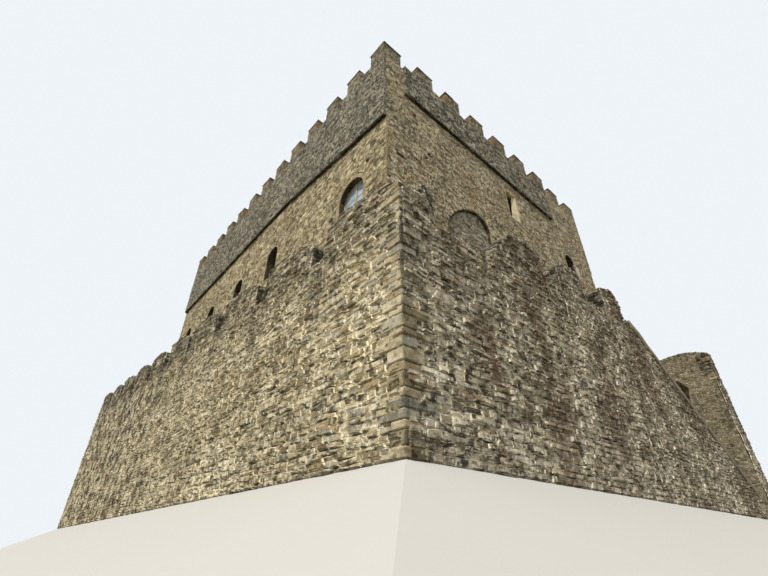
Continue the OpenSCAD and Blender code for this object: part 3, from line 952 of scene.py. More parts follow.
def new_mesh() -> bmesh.types.BMesh:
    """Makes an empty bmesh with the attributes that the finishes read.

    Returns:
        The mesh.
    """
    bm = bmesh.new()
    for layers, name in ((bm.faces.layers, GAP), (bm.faces.layers, TINT), (bm.verts.layers, JOINT)):
        layers.float.new(name)
    return bm


def faces_round(verts: Iterable[bmesh.types.BMVert]) -> list[bmesh.types.BMFace]:
    """Lists the faces round some vertices, each once and in the same order in every run."""
    return list(dict.fromkeys(face for vert in verts for face in vert.link_faces))


class Blocks:
    """A piece that is made of separate worn blocks."""

    def __init__(self, seed: int) -> None:
        """Starts the piece with its own source of unevenness."""
        self.bm = new_mesh()
        self.rng = random.Random(seed)

    def add(self, low: Sequence[float], high: Sequence[float], chamfer: float, rough: float = 0.0,
            place: Matrix | None = None, tint: float | None = None) -> None:
        """Adds one block with chamfered edges.

        Args:
            low: Its lowest corner.
            high: Its highest corner.
            chamfer: Width of the chamfer.
            rough: Most that a corner is moved.
            place: Matrix that moves the block to its place.
            tint: Its tint, 0 to 1; drawn where none is given.
        """
        tint = self.rng.random() if tint is None else tint
        low, high = Vector(low), Vector(high)
        size, middle = high - low, (high + low) / 2
        made = bmesh.ops.create_cube(self.bm, size=1.0)["verts"]
        for vert in made:
            vert.co = Vector(vert.co[i] * size[i] + middle[i] for i in range(3))
            vert.co += Vector(self.rng.uniform(-rough, rough) for _ in range(3))
        edges = list({edge for vert in made for edge in vert.link_edges})
        bevelled = bmesh.ops.bevel(self.bm, geom=edges, offset=chamfer, offset_type="OFFSET", segments=1,
                                   profile=0.5, affect="EDGES", material=-1, clamp_overlap=True)["faces"]
        touched = faces_round(vert for face in bevelled for vert in face.verts)
        layer = self.bm.faces.layers.float[TINT]
        for face in touched:
            face[layer] = tint
        if place is not None:
            verts = list({vert for face in touched for vert in face.verts})
            bmesh.ops.transform(self.bm, matrix=place, verts=verts)

    def build(self, name: str, finish: Finish, slot: str, replaces: Sequence[str] = ()) -> None:
        """Turns the blocks into a finished piece."""
        finish_piece(name, self.bm, finish, replaces)


class SolidTop:
    """Finds where the top of CAD nodes is along one side."""

    # Level from which the tops are probed, above the whole building
    ABOVE = 60.0

    def __init__(self, nodes: Sequence[str], side: Side, out: float) -> None:
        """Reads the nodes.

        Args:
            nodes: The CAD nodes.
            side: The side looked at.
            out: Distance of the probed plane from the middle of the plan.
        """
        self.plane = side.plane(out)
        self.trees = []
        for node in nodes:
            bm = bmesh.new()
            bm.from_mesh(bpy.data.objects[node].data)
            self.trees.append(BVHTree.FromBMesh(bm))
            bm.free()

    def __call__(self, along: float) -> float:
        """Gives the top level at a place along the side.

        Args:
            along: The place.

        Returns:
            The level, or 0 where no node is.
        """
        start = self.plane @ Vector((along, self.ABOVE, 0.0))
        hits = [tree.ray_cast(start, Vector((0, 0, -1)))[0] for tree in self.trees]
        return max((hit.z for hit in hits if hit is not None), default=0.0)

    def jumps(self, reach: float, step: float = 0.02, rise: float = 0.12) -> list[float]:
        """Finds the places where the top steps up or down.

        Args:
            reach: Half the side's length.
            step: Distance between probes.
            rise: Least height of a step.

        Returns:
            The places, from left to right.
        """
        found, before = [], self(-reach)
        for i in range(1, int(2 * reach / step) + 1):
            here = self(i * step - reach)
            if abs(here - before) > rise:
                found.append((i - 0.5) * step - reach)
            before = here
        return found


@dataclass
class StoneSkin:
    """Courses of separate stones laid on one face of a wall."""

    name: str
    side: Side
    out: float
    start: float
    end: float
    bottom: Line
    top: Line
    slot: str
    finish: Finish
    course: float
    length: float
    wave: float = 0.30
    uneven: float = 0.45
    bulge: float = 0.012
    proud: Pair = (0.010, 0.028)
    joint: float = 0.009
    grade: Grade = Grade.PLAIN
    openings: tuple[Opening, ...] = ()
    breaks: tuple[float, ...] = ()
    seed: int = 1
    settled: Matrix | None = None
    skipped: tuple[Pair, ...] = ()
    fine_from: float = EVERYWHERE

    # Lengths of stones, as shares of their mean length
    LENGTHS = (0.5, 0.7, 0.85, 1.0, 1.15, 1.4, 1.75)
    # Half the size of the patch of stones that is left out round a scaffold hole
    HOLE = (0.14, 0.07)
    # Distance kept between a stone and a step of the wall's top
    CLEAR = 0.004

    def __post_init__(self) -> None:
        """Starts the mesh and its own source of unevenness."""
        self.bm, self.rng = new_mesh(), random.Random(self.seed)

    def bed(self, index: int, level: float, along: float) -> float:
        """Gives the uneven level of one bed joint.

        Args:
            index: The joint's number from below.
            level: Its mean level.
            along: The place along the wall.

        Returns:
            The level at that place.
        """
        wave = noise.noise(Vector((along * 0.55, index * 7.31, self.seed * 3.7)))
        fine = noise.noise(Vector((along * 1.1 / self.length, index * 3.17, self.seed * 9.1)))
        return level + self.course * (self.wave * wave + self.uneven * fine)

    def jambs(self, level: float) -> list[float]:
        """Lists the sides of all the openings at a level."""
        return [edge for hole in self.openings for edge in hole.sides(level, hole.ring) or ()]

    def widths(self, level: float) -> list[float]:
        """Divides one course into stones.

        Args:
            level: The course's middle level.

        Returns:
            The places of the upright joints.
        """
        forced = sorted(place for place in (*self.breaks, *self.jambs(level))
                        if self.start + 0.03 < place < self.end - 0.03)
        places, rng = [self.start], self.rng
        for left, right in zip([self.start, *forced], [*forced, self.end]):
            here = left
            while right - here > self.length * 1.7:
                step = self.length * rng.choice(self.LENGTHS) * rng.uniform(0.85, 1.15)
                if right - here - step < self.length * 0.5:
                    break
                here += step
                places.append(here)
            if right - here > self.length * 1.25:
                places.append(here + (right - here) * rng.uniform(0.4, 0.6))
            places.append(right)
        return places

    def course_levels(self) -> list[float]:
        """Divides the height into courses.

        Returns:
            The levels of the bed joints, from the foot to just over the top.
        """
        probes = [self.start + (self.end - self.start) * i / 200 for i in range(201)]
        levels = [min(self.bottom(place) for place in probes)]
        end = max(self.top(place) for place in probes)
        while end - levels[-1] > self.course * 0.6:
            levels.append(levels[-1] + self.course * self.rng.uniform(0.72, 1.32))
        levels[-1] = end + 0.002
        return levels

    def lay(self) -> None:
        """Lays every course as flat cells."""
        joint = self.bm.verts.layers.float[JOINT]
        levels = self.course_levels()
        for index, (low, high) in enumerate(zip(levels, levels[1:])):
            places = self.widths((low + high) / 2)
            count = len(places)
            made = bmesh.ops.create_grid(self.bm, x_segments=count - 1, y_segments=1, size=0.5)["verts"]
            fixed = {round(place, 4) for place in (self.start, self.end, *self.breaks,
                                                   *self.jambs((low + high) / 2))}
            for i, place in enumerate(places):
                for vert, bed, level in ((made[i], index, low), (made[count + i], index + 1, high)):
                    along = place
                    if round(place, 4) not in fixed:
                        along += self.rng.uniform(-0.11, 0.11) * self.length
                    vert.co = Vector((along, self.bed(bed, level, along) if bed else level, 0.0))
                    vert[joint] = 1.0
            self.trim(made)

    def trim(self, verts: list[bmesh.types.BMVert]) -> None:
        """Tints one course and cuts it to the wall's top, bottom, openings and scaffold holes.

        Args:
            verts: The course's vertices.
        """
        tint = self.bm.faces.layers.float[TINT]
        faces = faces_round(verts)
        doomed = []
        for face in faces:
            face[tint] = self.rng.random()
            middle = face.calc_center_median()
            inside = any(h.holds(middle.x, middle.y, h.ring) for h in self.openings)
            skipped = any(abs(middle.x - u) < self.HOLE[0] and abs(middle.y - v) < self.HOLE[1]
                          for u, v in self.skipped)
            if inside or skipped or not self.bottom(middle.x) <= middle.y <= self.top(middle.x):
                doomed.append(face)
        bmesh.ops.delete(self.bm, geom=doomed, context="FACES")
        for vert in (v for v in verts if v.is_valid):
            middle = sum(f.calc_center_median().x for f in vert.link_faces) / max(len(vert.link_faces), 1)
            probe = vert.co.x + (self.CLEAR if middle > vert.co.x else -self.CLEAR)
            vert.co.y = max(min(vert.co.y, self.top(probe) - self.CLEAR), self.bottom(vert.co.x))
            for hole in self.openings:
                moved = hole.pushed(vert.co.x, vert.co.y, hole.ring)
                if moved:
                    vert.co.x, vert.co.y = moved
        thin = [f for f in faces if f.is_valid and f.calc_area() < self.course * self.length * 0.10]
        bmesh.ops.delete(self.bm, geom=thin, context="FACES")

    def round_off(self) -> None:
        """Gives each cell a middle point on every edge, moved a little."""
        reach, rng = self.course * 0.10, self.rng
        for edge in [e for e in self.bm.edges if min(v.co.x for v in e.verts) >= self.fine_from]:
            _, vert = bmesh.utils.edge_split(edge, edge.verts[0], 0.5)
            on_edge = any(h.holds(vert.co.x, vert.co.y, h.ring + 0.05) for h in self.openings)
            near_top = self.top(vert.co.x) - vert.co.y < 0.03
            if not on_edge and not near_top and self.start + 0.02 < vert.co.x < self.end - 0.02:
                vert.co += Vector((rng.uniform(-reach, reach), rng.uniform(-reach, reach), 0.0))

    def raise_stones(self) -> None:
        """Lifts each stone out of its joints and tilts it a little."""
        bm, rng = self.bm, self.rng
        joint, gap = bm.verts.layers.float[JOINT], bm.faces.layers.float[GAP]
        for vert in bm.verts:
            vert[joint] = 1.0
        faces = list(bm.faces)
        least, most = self.proud
        for face in faces:
            middle = face.calc_center_median()
            face[gap] = max(self.top(middle.x) - middle.y, 0.0)
        fine = [face for face in faces if self.grade is Grade.WORN and len(face.verts) > 4]
        plain = [face for face in faces if face not in set(fine)]
        for group, depth in ((plain, least), (fine, least * 0.7)):
            bmesh.ops.inset_individual(bm, faces=group, thickness=self.joint, depth=depth,
                                       use_even_offset=True)
        for face in fine:
            middle = face.calc_center_median()
            for vert in face.verts:
                vert.co -= (vert.co - middle) * rng.uniform(0.0, 0.07)
        bmesh.ops.inset_individual(bm, faces=fine, thickness=self.joint, depth=least * 0.3)
        for face in faces:
            for vert in face.verts:
                vert[joint] = 0.0
        for face in faces:
            middle = face.calc_center_median()
            lift = rng.random() ** 1.5 * (most - least)
            lean_x, lean_y = rng.uniform(-0.05, 0.05), rng.uniform(-0.07, 0.07)
            for vert in face.verts:
                off = vert.co - middle
                vert.co.z += max(lift + off.x * lean_x + off.y * lean_y, -least * 0.5)

    def mesh(self) -> bmesh.types.BMesh:
        """Builds the skin's mesh.

        Returns:
            The mesh, in the model's frame.
        """
        bm = self.bm
        self.lay()
        bmesh.ops.delete(bm, geom=[v for v in bm.verts if not v.link_faces], context="VERTS")
        if self.grade is Grade.WORN:
            self.round_off()
        self.raise_stones()
        for vert in bm.verts:
            swell = noise.noise(Vector((vert.co.x * 1.7, vert.co.y * 2.1, self.seed * 1.3)))
            vert.co.z += 0.002 + self.bulge * (swell + 0.7)
        bmesh.ops.transform(bm, matrix=self.settled or self.side.plane(self.out), verts=bm.verts)
        return bm

    def build(self) -> None:
        """Builds the skin as a piece of its own."""
        finish_piece(self.name, self.mesh(), self.finish)


def build_together(name: str, skins: Iterable[StoneSkin]) -> None:
    """Builds several small skins of one finish into one piece.

    Args:
        name: The piece's name.
        skins: The skins.
    """
    bm = new_mesh()
    for skin in skins:
        part = skin.mesh()
        held = bpy.data.meshes.new("held")
        part.to_mesh(held)
        part.free()
        bm.from_mesh(held)
        bpy.data.meshes.remove(held)
    finish_piece(name, bm, skin.finish)


@dataclass
class Patch:
    """A thin patch of plaster on a face, with an uneven edge that dies into the wall."""

    path: Callable[[float, float], Pair]
    across: int = 3
    along: int = 12
    thick: float = 0.035
    ragged: float = 0.03
    seed: int = 1

    def add(self, bm: bmesh.types.BMesh, plane: Matrix) -> None:
        """Adds the patch.

        Args:
            bm: The mesh that takes it.
            plane: The plane of the face.
        """
        rng = random.Random(self.seed)
        made = bmesh.ops.create_grid(bm, x_segments=self.along, y_segments=self.across, size=0.5)["verts"]
        for vert in made:
            s, t = vert.co.x + 0.5, vert.co.y + 0.5
            edge = not (0.001 <= s <= 0.999 and 0.001 <= t <= 0.999)
            along, level = self.path(s, t)
            move = self.ragged if edge else self.ragged * 0.3
            vert.co = Vector((along + rng.uniform(-move, move), level + rng.uniform(-move, move),
                              0.004 if edge else self.thick * rng.uniform(0.8, 1.1)))
        bmesh.ops.transform(bm, matrix=plane, verts=made)


def build_patches(name: str, patches: Iterable[Patch], plane: Matrix, finish: Finish) -> None:
    """Builds some patches of plaster on one plane into one piece.

    Args:
        name: The piece's name.
        patches: The patches.
        plane: Their plane.
        finish: Their finish.
    """
    bm = new_mesh()
    for patch in patches:
        patch.add(bm, plane)
    bmesh.ops.recalc_face_normals(bm, faces=bm.faces)
    finish_piece(name, bm, finish, smooth=True)


# ---------------------------------------------------------------- sub-assemblies

@dataclass
class Keep:
    """The keep's four faces, their corner stones and the dressings of their openings."""

    reach_x: float = 12.5
    reach_y: float = 9.35
    jetty: float = 0.15
    throat: float = 0.26
    sill_z: float = 19.6
    near_pier: float = -8.1
    far_pier: float = 5.0
    bend: tuple[Pair, ...] = ((-12.5, 15.4), (3.5, 15.7), (12.5, 14.76))
    side_ends: Pair = (17.42, 17.08)
    recess: float = 0.16
    foot_stone: float = 0.32
    hole: Pair = (0.15, 0.13)
    large: Opening = Opening(10.19, 10.65, 1.7, 1.1, ring=0.2)
    upper: Opening = Opening(6.18, 13.5, 1.1, 0.7, ring=0.1)
    slot: Opening = Opening(0.3, 14.4, 0.9, None, 1.9, ring=0.045)
    walled: SunkenArch = SunkenArch(-4.17, 9.4, 3.2, 2.1, ring=0.02)
    door: Opening = Opening(0.0, 9.4, 1.3, 1.7, ring=0.17)
    crack: tuple[Pair, ...] = ((-8.77, 13.95), (-8.6, 13.78), (-8.5, 13.56), (-8.32, 13.35))

    @property
    def wall_out(self) -> float:
        """Distance of the front and rear walls' faces from the middle of the plan."""
        return self.reach_y - self.jetty

    def out(self, side: Side) -> float:
        """Gives the distance of one wall's face from the middle of the plan."""
        return self.wall_out if side.long else self.reach_x

    def openings(self, side: Side) -> tuple[Opening, ...]:
        """Lists the openings of one side.

        Args:
            side: The side.

        Returns:
            The openings.
        """
        if side is Side.RIGHT:
            return self.upper, self.slot, self.walled
        own, places = {Side.FRONT: ((self.large,), (-10.25, -5.85, -1.45, 2.95)),
                       Side.REAR: ((self.door,), (-10.25, -5.35, 5.35, 10.25)),
                       Side.LEFT: ((), (-4.9, 4.9))}[side]
        return (*own, *(Opening(along, 11.1, 1.2, 1.42) for along in places))

    def putlogs(self, side: Side) -> tuple[Pair, ...]:
        """Lists the scaffold holes of one side, as places and levels.

        Args:
            side: The side.

        Returns:
            The place and the level of each.
        """
        if side is Side.RIGHT:
            return ((-8.46, 12.74), (-6.6, 14.3), (-1.6, 13.9), (2.6, 12.6), (5.2, 11.9), (7.8, 13.1),
                    (-7.4, 16.4), (3.4, 15.6))
        if side is Side.FRONT:
            return ((11.3, 12.95), (8.62, 12.1), (8.75, 11.2), (0.9, 13.2), (-4.1, 13.4), (-8.0, 12.9))
        return (-7.5, 13.5), (-2.4, 12.9), (2.5, 13.6), (7.4, 12.8)

    def band_ends(self, side: Side) -> Pair:
        """Gives the two ends of a side's band, which has a flush pier beside it on the short sides.

        Args:
            side: The side.

        Returns:
            The left and the right end.
        """
        if side.long:
            return -self.reach_x, self.reach_x
        ends = (self.near_pier, self.far_pier)
        return ends if side is Side.RIGHT else (-ends[1], -ends[0])

    def band(self, side: Side, along: float) -> float:
        """Gives the level of a band's underside.

        Args:
            side: The side of the building.
            along: The place along it.

        Returns:
            The level; the parapet's sill where a side's corner pier is flush.
        """
        place = along if side.near else -along
        if side.long:
            low, high = self.bend[:2] if place < self.bend[1][0] else self.bend[1:]
            return low[1] + (high[1] - low[1]) * (place - low[0]) / (high[0] - low[0])
        if not self.near_pier < place < self.far_pier:
            return self.sill_z
        share = (place - self.near_pier) / (self.far_pier - self.near_pier)
        return self.side_ends[0] + (self.side_ends[1] - self.side_ends[0]) * share

    def build_faces(self) -> None:
        """Lays the stones of the walls and of the bands above them."""
        walks = {side: SolidTop(nodes, side, out) for side, nodes, out in (
            (Side.FRONT, ["front_walk"], 10.2), (Side.RIGHT, ["right_walk", "ramp"], 13.6),
            (Side.REAR, ["rear_walk"], 10.2), (Side.LEFT, ["left_walk"], 14.0))}
        for index, side in enumerate(Side):
            size = {"course": 0.15, "length": 0.21} if side.near else {"course": 0.17, "length": 0.25}
            reach = self.reach_x if side.long else self.wall_out
            front = side is Side.FRONT
            line = lambda along, s=side: self.band(s, along)
            StoneSkin(f"{side.word}_wall_stones", side, self.out(side), -reach, reach, walks[side], line,
                      "front_rubble" if front else "side_rubble", Finish.FRONT if front else Finish.SIDE,
                      **size, openings=self.openings(side), seed=11 + index,
                      breaks=() if side.long else self.band_ends(side), skipped=self.putlogs(side)).build()
            StoneSkin(f"{side.word}_band_stones", side, self.out(side) + self.jetty, *self.band_ends(side),
                      line, lambda _: self.sill_z, "parapet_rubble", Finish.BAND, **size,
                      seed=31 + index).build()
        arch, reach = self.walled, self.walled.width / 2
        StoneSkin("arch_infill_stones", Side.RIGHT, self.reach_x - self.recess, arch.along - reach,
                  arch.along + reach, walks[Side.RIGHT], arch.head, "infill_stone", Finish.INFILL,
                  course=0.12, length=0.2, proud=(0.008, 0.03), seed=51).build()

    def build_band_feet(self) -> None:
        """Lays the dark stones that carry each band; their darkness is partly soot and partly painted shade
        under the band's overhang.
        """
        for side in Side:
            stones = Blocks(140 + side.value)
            start, end = self.band_ends(side)
            count = round((end - start) / self.foot_stone)
            half = (end - start) / count / 2
            for i in range(count):
                middle = start + (2 * i + 1) * half
                slope = (self.band(side, middle + 0.02) - self.band(side, middle - 0.02)) / 0.04
                turn = (Matrix.Translation((middle, self.band(side, middle), 0))
                        @ Matrix.Rotation(math.atan(slope), 4, "Z"))
                stones.add((-half, -0.06 - stones.rng.uniform(0.0, 0.02), -0.03),
                           (half, 0.02, self.jetty + stones.rng.uniform(0.0, 0.012)), 0.01, 0.006,
                           side.plane(self.out(side)) @ turn)
            stones.build(f"{side.word}_band_foot", Finish.SOFFIT, "parapet_rubble")

    def build_band_edges(self) -> None:
        """Stacks the stones at both upright ends of the short sides' bands."""
        for side, hand in ((Side.RIGHT, 1), (Side.LEFT, -1)):
            for index, y in enumerate((self.near_pier, self.far_pier)):
                within = y - math.copysign(0.1, y)
                CornerStones(f"{side.word}_band_edge_{index + 1}", (hand * (self.reach_x + self.jetty), y),
                             (self.band(side, within * hand), self.sill_z), Finish.BAND, "parapet_rubble",
                             760 + 2 * index + hand, 0.03, 0.14, (0.2, 0.32), (0.16, 0.24), 0.9).build()

    def build_putlogs(self) -> None:
        """Darkens the scaffold holes that the stones leave, and the crack by the near corner, with dark
        blocks painted as the shade inside them.
        """
        dark = Blocks(5)
        wide, tall = self.hole
        for side in Side:
            for along, level in self.putlogs(side):
                corner = Vector((along - wide / 2, level - tall / 2, -0.05))
                dark.add(corner, corner + Vector((wide, tall, 0.056)), 0.01, 0.008,
                         side.plane(self.out(side)), 0.1)
        crack = [Vector((*point, 0)) for point in self.crack]
        for first, last in zip(crack, crack[1:]):
            span = last - first
            turn = (Matrix.Translation((first + last) / 2)
                    @ Matrix.Rotation(math.atan2(span.y, span.x), 4, "Z"))
            half = Vector((span.length / 2 + 0.02, 0.018, 0.031))
            dark.add(-half, half, 0.006, 0.006, Side.RIGHT.plane(self.reach_x) @ turn, 0.1)
        dark.build("putlog_holes", Finish.HOLLOW, "side_rubble")

    def dress_opening(self, stones: Blocks, hole: Opening, plane: Matrix, count: int,
                      sill: bool = True) -> None:
        """Puts arch stones, jamb stones and a sill round one opening.

        Args:
            stones: The piece that takes them.
            hole: The opening.
            plane: The plane of its wall.
            count: Number of arch stones.
            sill: Whether it gets a sill.
        """
        rng, back, reach = stones.rng, -0.04, hole.width / 2
        spring = hole.sill + hole.spring
        step = math.pi / count
        wide = (reach + hole.ring / 2) * step * 0.48
        for i in range(count):
            turn = Matrix.Translation((hole.along, spring, 0)) @ Matrix.Rotation((i + 0.5) * step, 4, "Z")
            deep = hole.ring * rng.uniform(0.98, 1.15)
            stones.add((reach, -wide, back), (reach + deep, wide, 0.022), 0.006, 0.004, plane @ turn)
        level = hole.sill
        while spring - level > 0.03:
            tall = min(rng.uniform(0.1, 0.2), spring - level)
            for hand in (-1, 1):
                deep = hole.ring * rng.uniform(0.98, 1.3)
                near, far = sorted((hole.along + hand * reach, hole.along + hand * (reach + deep)))
                stones.add((near, level + HALF_JOINT, back), (far, level + tall - HALF_JOINT, 0.024), 0.006,
                           0.004, plane)
            level += tall
        if sill:
            stones.add((hole.along - reach - 0.16, hole.sill - 0.11, back),
                       (hole.along + reach + 0.16, hole.sill - 0.002, 0.04), 0.012, 0.005, plane, 0.4)

    def build_dressings(self) -> None:
        """Dresses every arched opening but the walled-up arch."""
        for side in Side:
            stones = Blocks(60 + side.value)
            for hole in self.openings(side):
                if hole.spring is not None and hole not in (self.large, self.walled):
                    self.dress_opening(stones, hole, side.plane(self.out(side)), 14)
            stones.build(f"{side.word}_window_rims", Finish.RIM, "lime_plaster")
        bricks = Blocks(64)
        self.dress_opening(bricks, self.large, Side.FRONT.plane(self.wall_out), 34, False)
        bricks.build("large_window_bricks", Finish.BRICK, "front_rubble")

    def build_plaster(self) -> None:
        """Lays the plaster left on the arch, the slot and the upper window, and a dark wedge of painted
        shadow in the slot.
        """
        def rim(start: float, end: float, thick: float) -> Callable:
            """Gives a strip over the arch's head.

            Args:
                start: The strip's start.
                end: Its end.
                thick: Its height.

            Returns:
                The map from the strip to the face.
            """
            def place(s: float, t: float) -> Pair:
                """Maps the strip to the face."""
                along = start + (end - start) * s
                return along, self.walled.head(along) + 0.01 + thick * t
            return place

        def box(left: float, wide: float, low: float, high: float) -> Callable:
            """Gives an upright patch of a width between two levels."""
            return lambda s, t: (left + wide * t, low + (high - low) * s)

        slot, upper = self.slot, self.upper
        plane = Side.RIGHT.plane(self.reach_x)
        jamb = self.walled.along + self.walled.width / 2
        build_patches("arch_plaster", (
            Patch(rim(-4.35, -3.1, 0.26), along=14, seed=3), Patch(rim(-3.1, -2.62, 0.09), along=8, seed=4),
            Patch(box(jamb, 0.08, 10.5, 12.2), along=14, seed=5)), plane, Finish.RUBBED)
        build_patches("plaster_patches", (
            Patch(box(slot.along + slot.width / 2 + 0.04, 0.1, slot.sill, slot.top - 0.2), seed=7),
            Patch(box(upper.along + upper.width / 2 + 0.08, 0.42, upper.sill - 0.1, upper.sill + 0.75),
                  across=5, seed=8, ragged=0.05)), plane, Finish.PLASTER)
        # A dark wedge on one splay of the slot, wide at the top and narrowing lower down, is painted shadow
        # inside the slot
        deep = 0.2
        splay = Vector((deep, (slot.width - self.throat) / 2, 0.0)).normalized()
        splayed = Matrix(((splay.x, 0, splay.y, self.reach_x - deep),
                          (splay.y, 0, -splay.x, slot.along + self.throat / 2),
                          (0, 1, 0, 0), (0, 0, 0, 1)))
        low, high = slot.sill + 0.55, slot.top - 0.03
        build_patches("slot_broken_plaster", (
            Patch(lambda s, t: (0.16 * s * t, low + (high - low) * s), thick=0.01, ragged=0.008, seed=9),),
            splayed, Finish.HOLLOW)

    def build_window(self) -> None:
        """Adds the glazing bars of the large window."""
        bars, back, frame_w = Blocks(8), -0.03, 0.06
        plane = Side.FRONT.plane(self.wall_out - 0.26 - 0.03)
        x, reach, sill = self.large.along, self.large.width / 2, self.large.sill
        for level in (0.55, 1.1):
            side = math.sqrt(reach ** 2 - max(level - self.large.spring, 0) ** 2) - frame_w
            for hand in (-1, 1):
                near, far = sorted((x + hand * 0.04, x + hand * side))
                bars.add((near, sill + level, back), (far, sill + level + 0.02, 0.006), 0.004,
                         place=plane, tint=0.5)
        for hand in (-1, 1):
            middle = x + hand * reach * 0.5
            bars.add((middle - 0.011, sill + frame_w, back), (middle + 0.011, sill + 1.76, 0.005), 0.004,
                     place=plane, tint=0.5)
        bars.build("glazing_bars", Finish.JOINERY, "window_timber")

    def build_corners(self) -> None:
        """Stacks the corner stones, which are little more than the rubble beside them."""
        feet = {(1, -1): 4.2, (1, 1): 0.0, (-1, -1): 6.5, (-1, 1): 6.5}
        for index, ((hand_x, hand_y), foot) in enumerate(feet.items()):
            change = self.bend[-1 if hand_x > 0 else 0][1]
            # The last number dims the stones' faces to the short sides, as painted shade
            for part, out, levels, finish, dim in (
                    ("wall", self.wall_out, (foot, change), Finish.KEEP_CORNER, 0.6),
                    ("band", self.reach_y, (change, self.sill_z), Finish.BAND, 0.9)):
                CornerStones(f"keep_corner_{part}_{index + 1}", (hand_x * self.reach_x, hand_y * out),
                             levels, finish, "side_rubble", 700 + 2 * index, 0.02, 0.15, (0.22, 0.36),
                             (0.13, 0.2), dim).build()

    def build(self) -> None:
        """Builds the whole keep up to its parapets."""
        for step in (self.build_faces, self.build_band_feet, self.build_band_edges, self.build_putlogs,
                     self.build_dressings, self.build_plaster, self.build_window, self.build_corners):
            step()


@dataclass
class CornerStones:
    """Stones stacked at an outer corner, with their long faces to one side and the other in turn."""

    name: str
    corner: Pair
    levels: Pair
    finish: Finish
    slot: str
    seed: int
    proud: float
    course: float
    long_run: Pair = (0.42, 0.7)
    short_run: Pair = (0.2, 0.36)
    dim: float = 0.5
    dark_top: bool = False

    def build(self) -> None:
        """Builds the stones, and dims as painted shade those faces that look to the building's short sides,
        on some corners more towards the top, where it is partly dark growth.
        """
        stones = Blocks(self.seed)
        rng, (x, y) = stones.rng, self.corner
        hand_x, hand_y = math.copysign(1, x), math.copysign(1, y)
        (level, high), swap = self.levels, True
        while high - level > 0.06:
            tall = min(self.course * rng.uniform(0.7, 1.45), high - level)
            if high - level - tall < 0.08:
                tall = high - level
            run = rng.uniform(*self.long_run), rng.uniform(*self.short_run)
            run_x, run_y = run if swap else run[::-1]
            out = self.proud * rng.uniform(0.75, 1.1)
            ends = (x + hand_x * out, y + hand_y * out, level + tall - 0.006)
            starts = (x - hand_x * run_x, y - hand_y * run_y, level + 0.006)
            stones.add(tuple(map(min, ends, starts)), tuple(map(max, ends, starts)),
                       min(0.022, self.proud), 0.009, tint=rng.uniform(0.35, 1.0))
            level += tall
            swap = not swap if rng.random() < 0.8 else swap
        stones.bm.normal_update()
        tint = stones.bm.faces.layers.float[TINT]
        # Painted shade: faces to the short sides are dimmed, on some corners more towards the top
        for face in stones.bm.faces:
            if abs(face.normal.x) > 0.6:
                below = high - face.calc_center_median().z
                face[tint] *= self.dim * (min(max(below / 3.0 - 0.2, 0.1), 1.0) if self.dark_top else 1.0)
        stones.build(self.name, self.finish, self.slot)


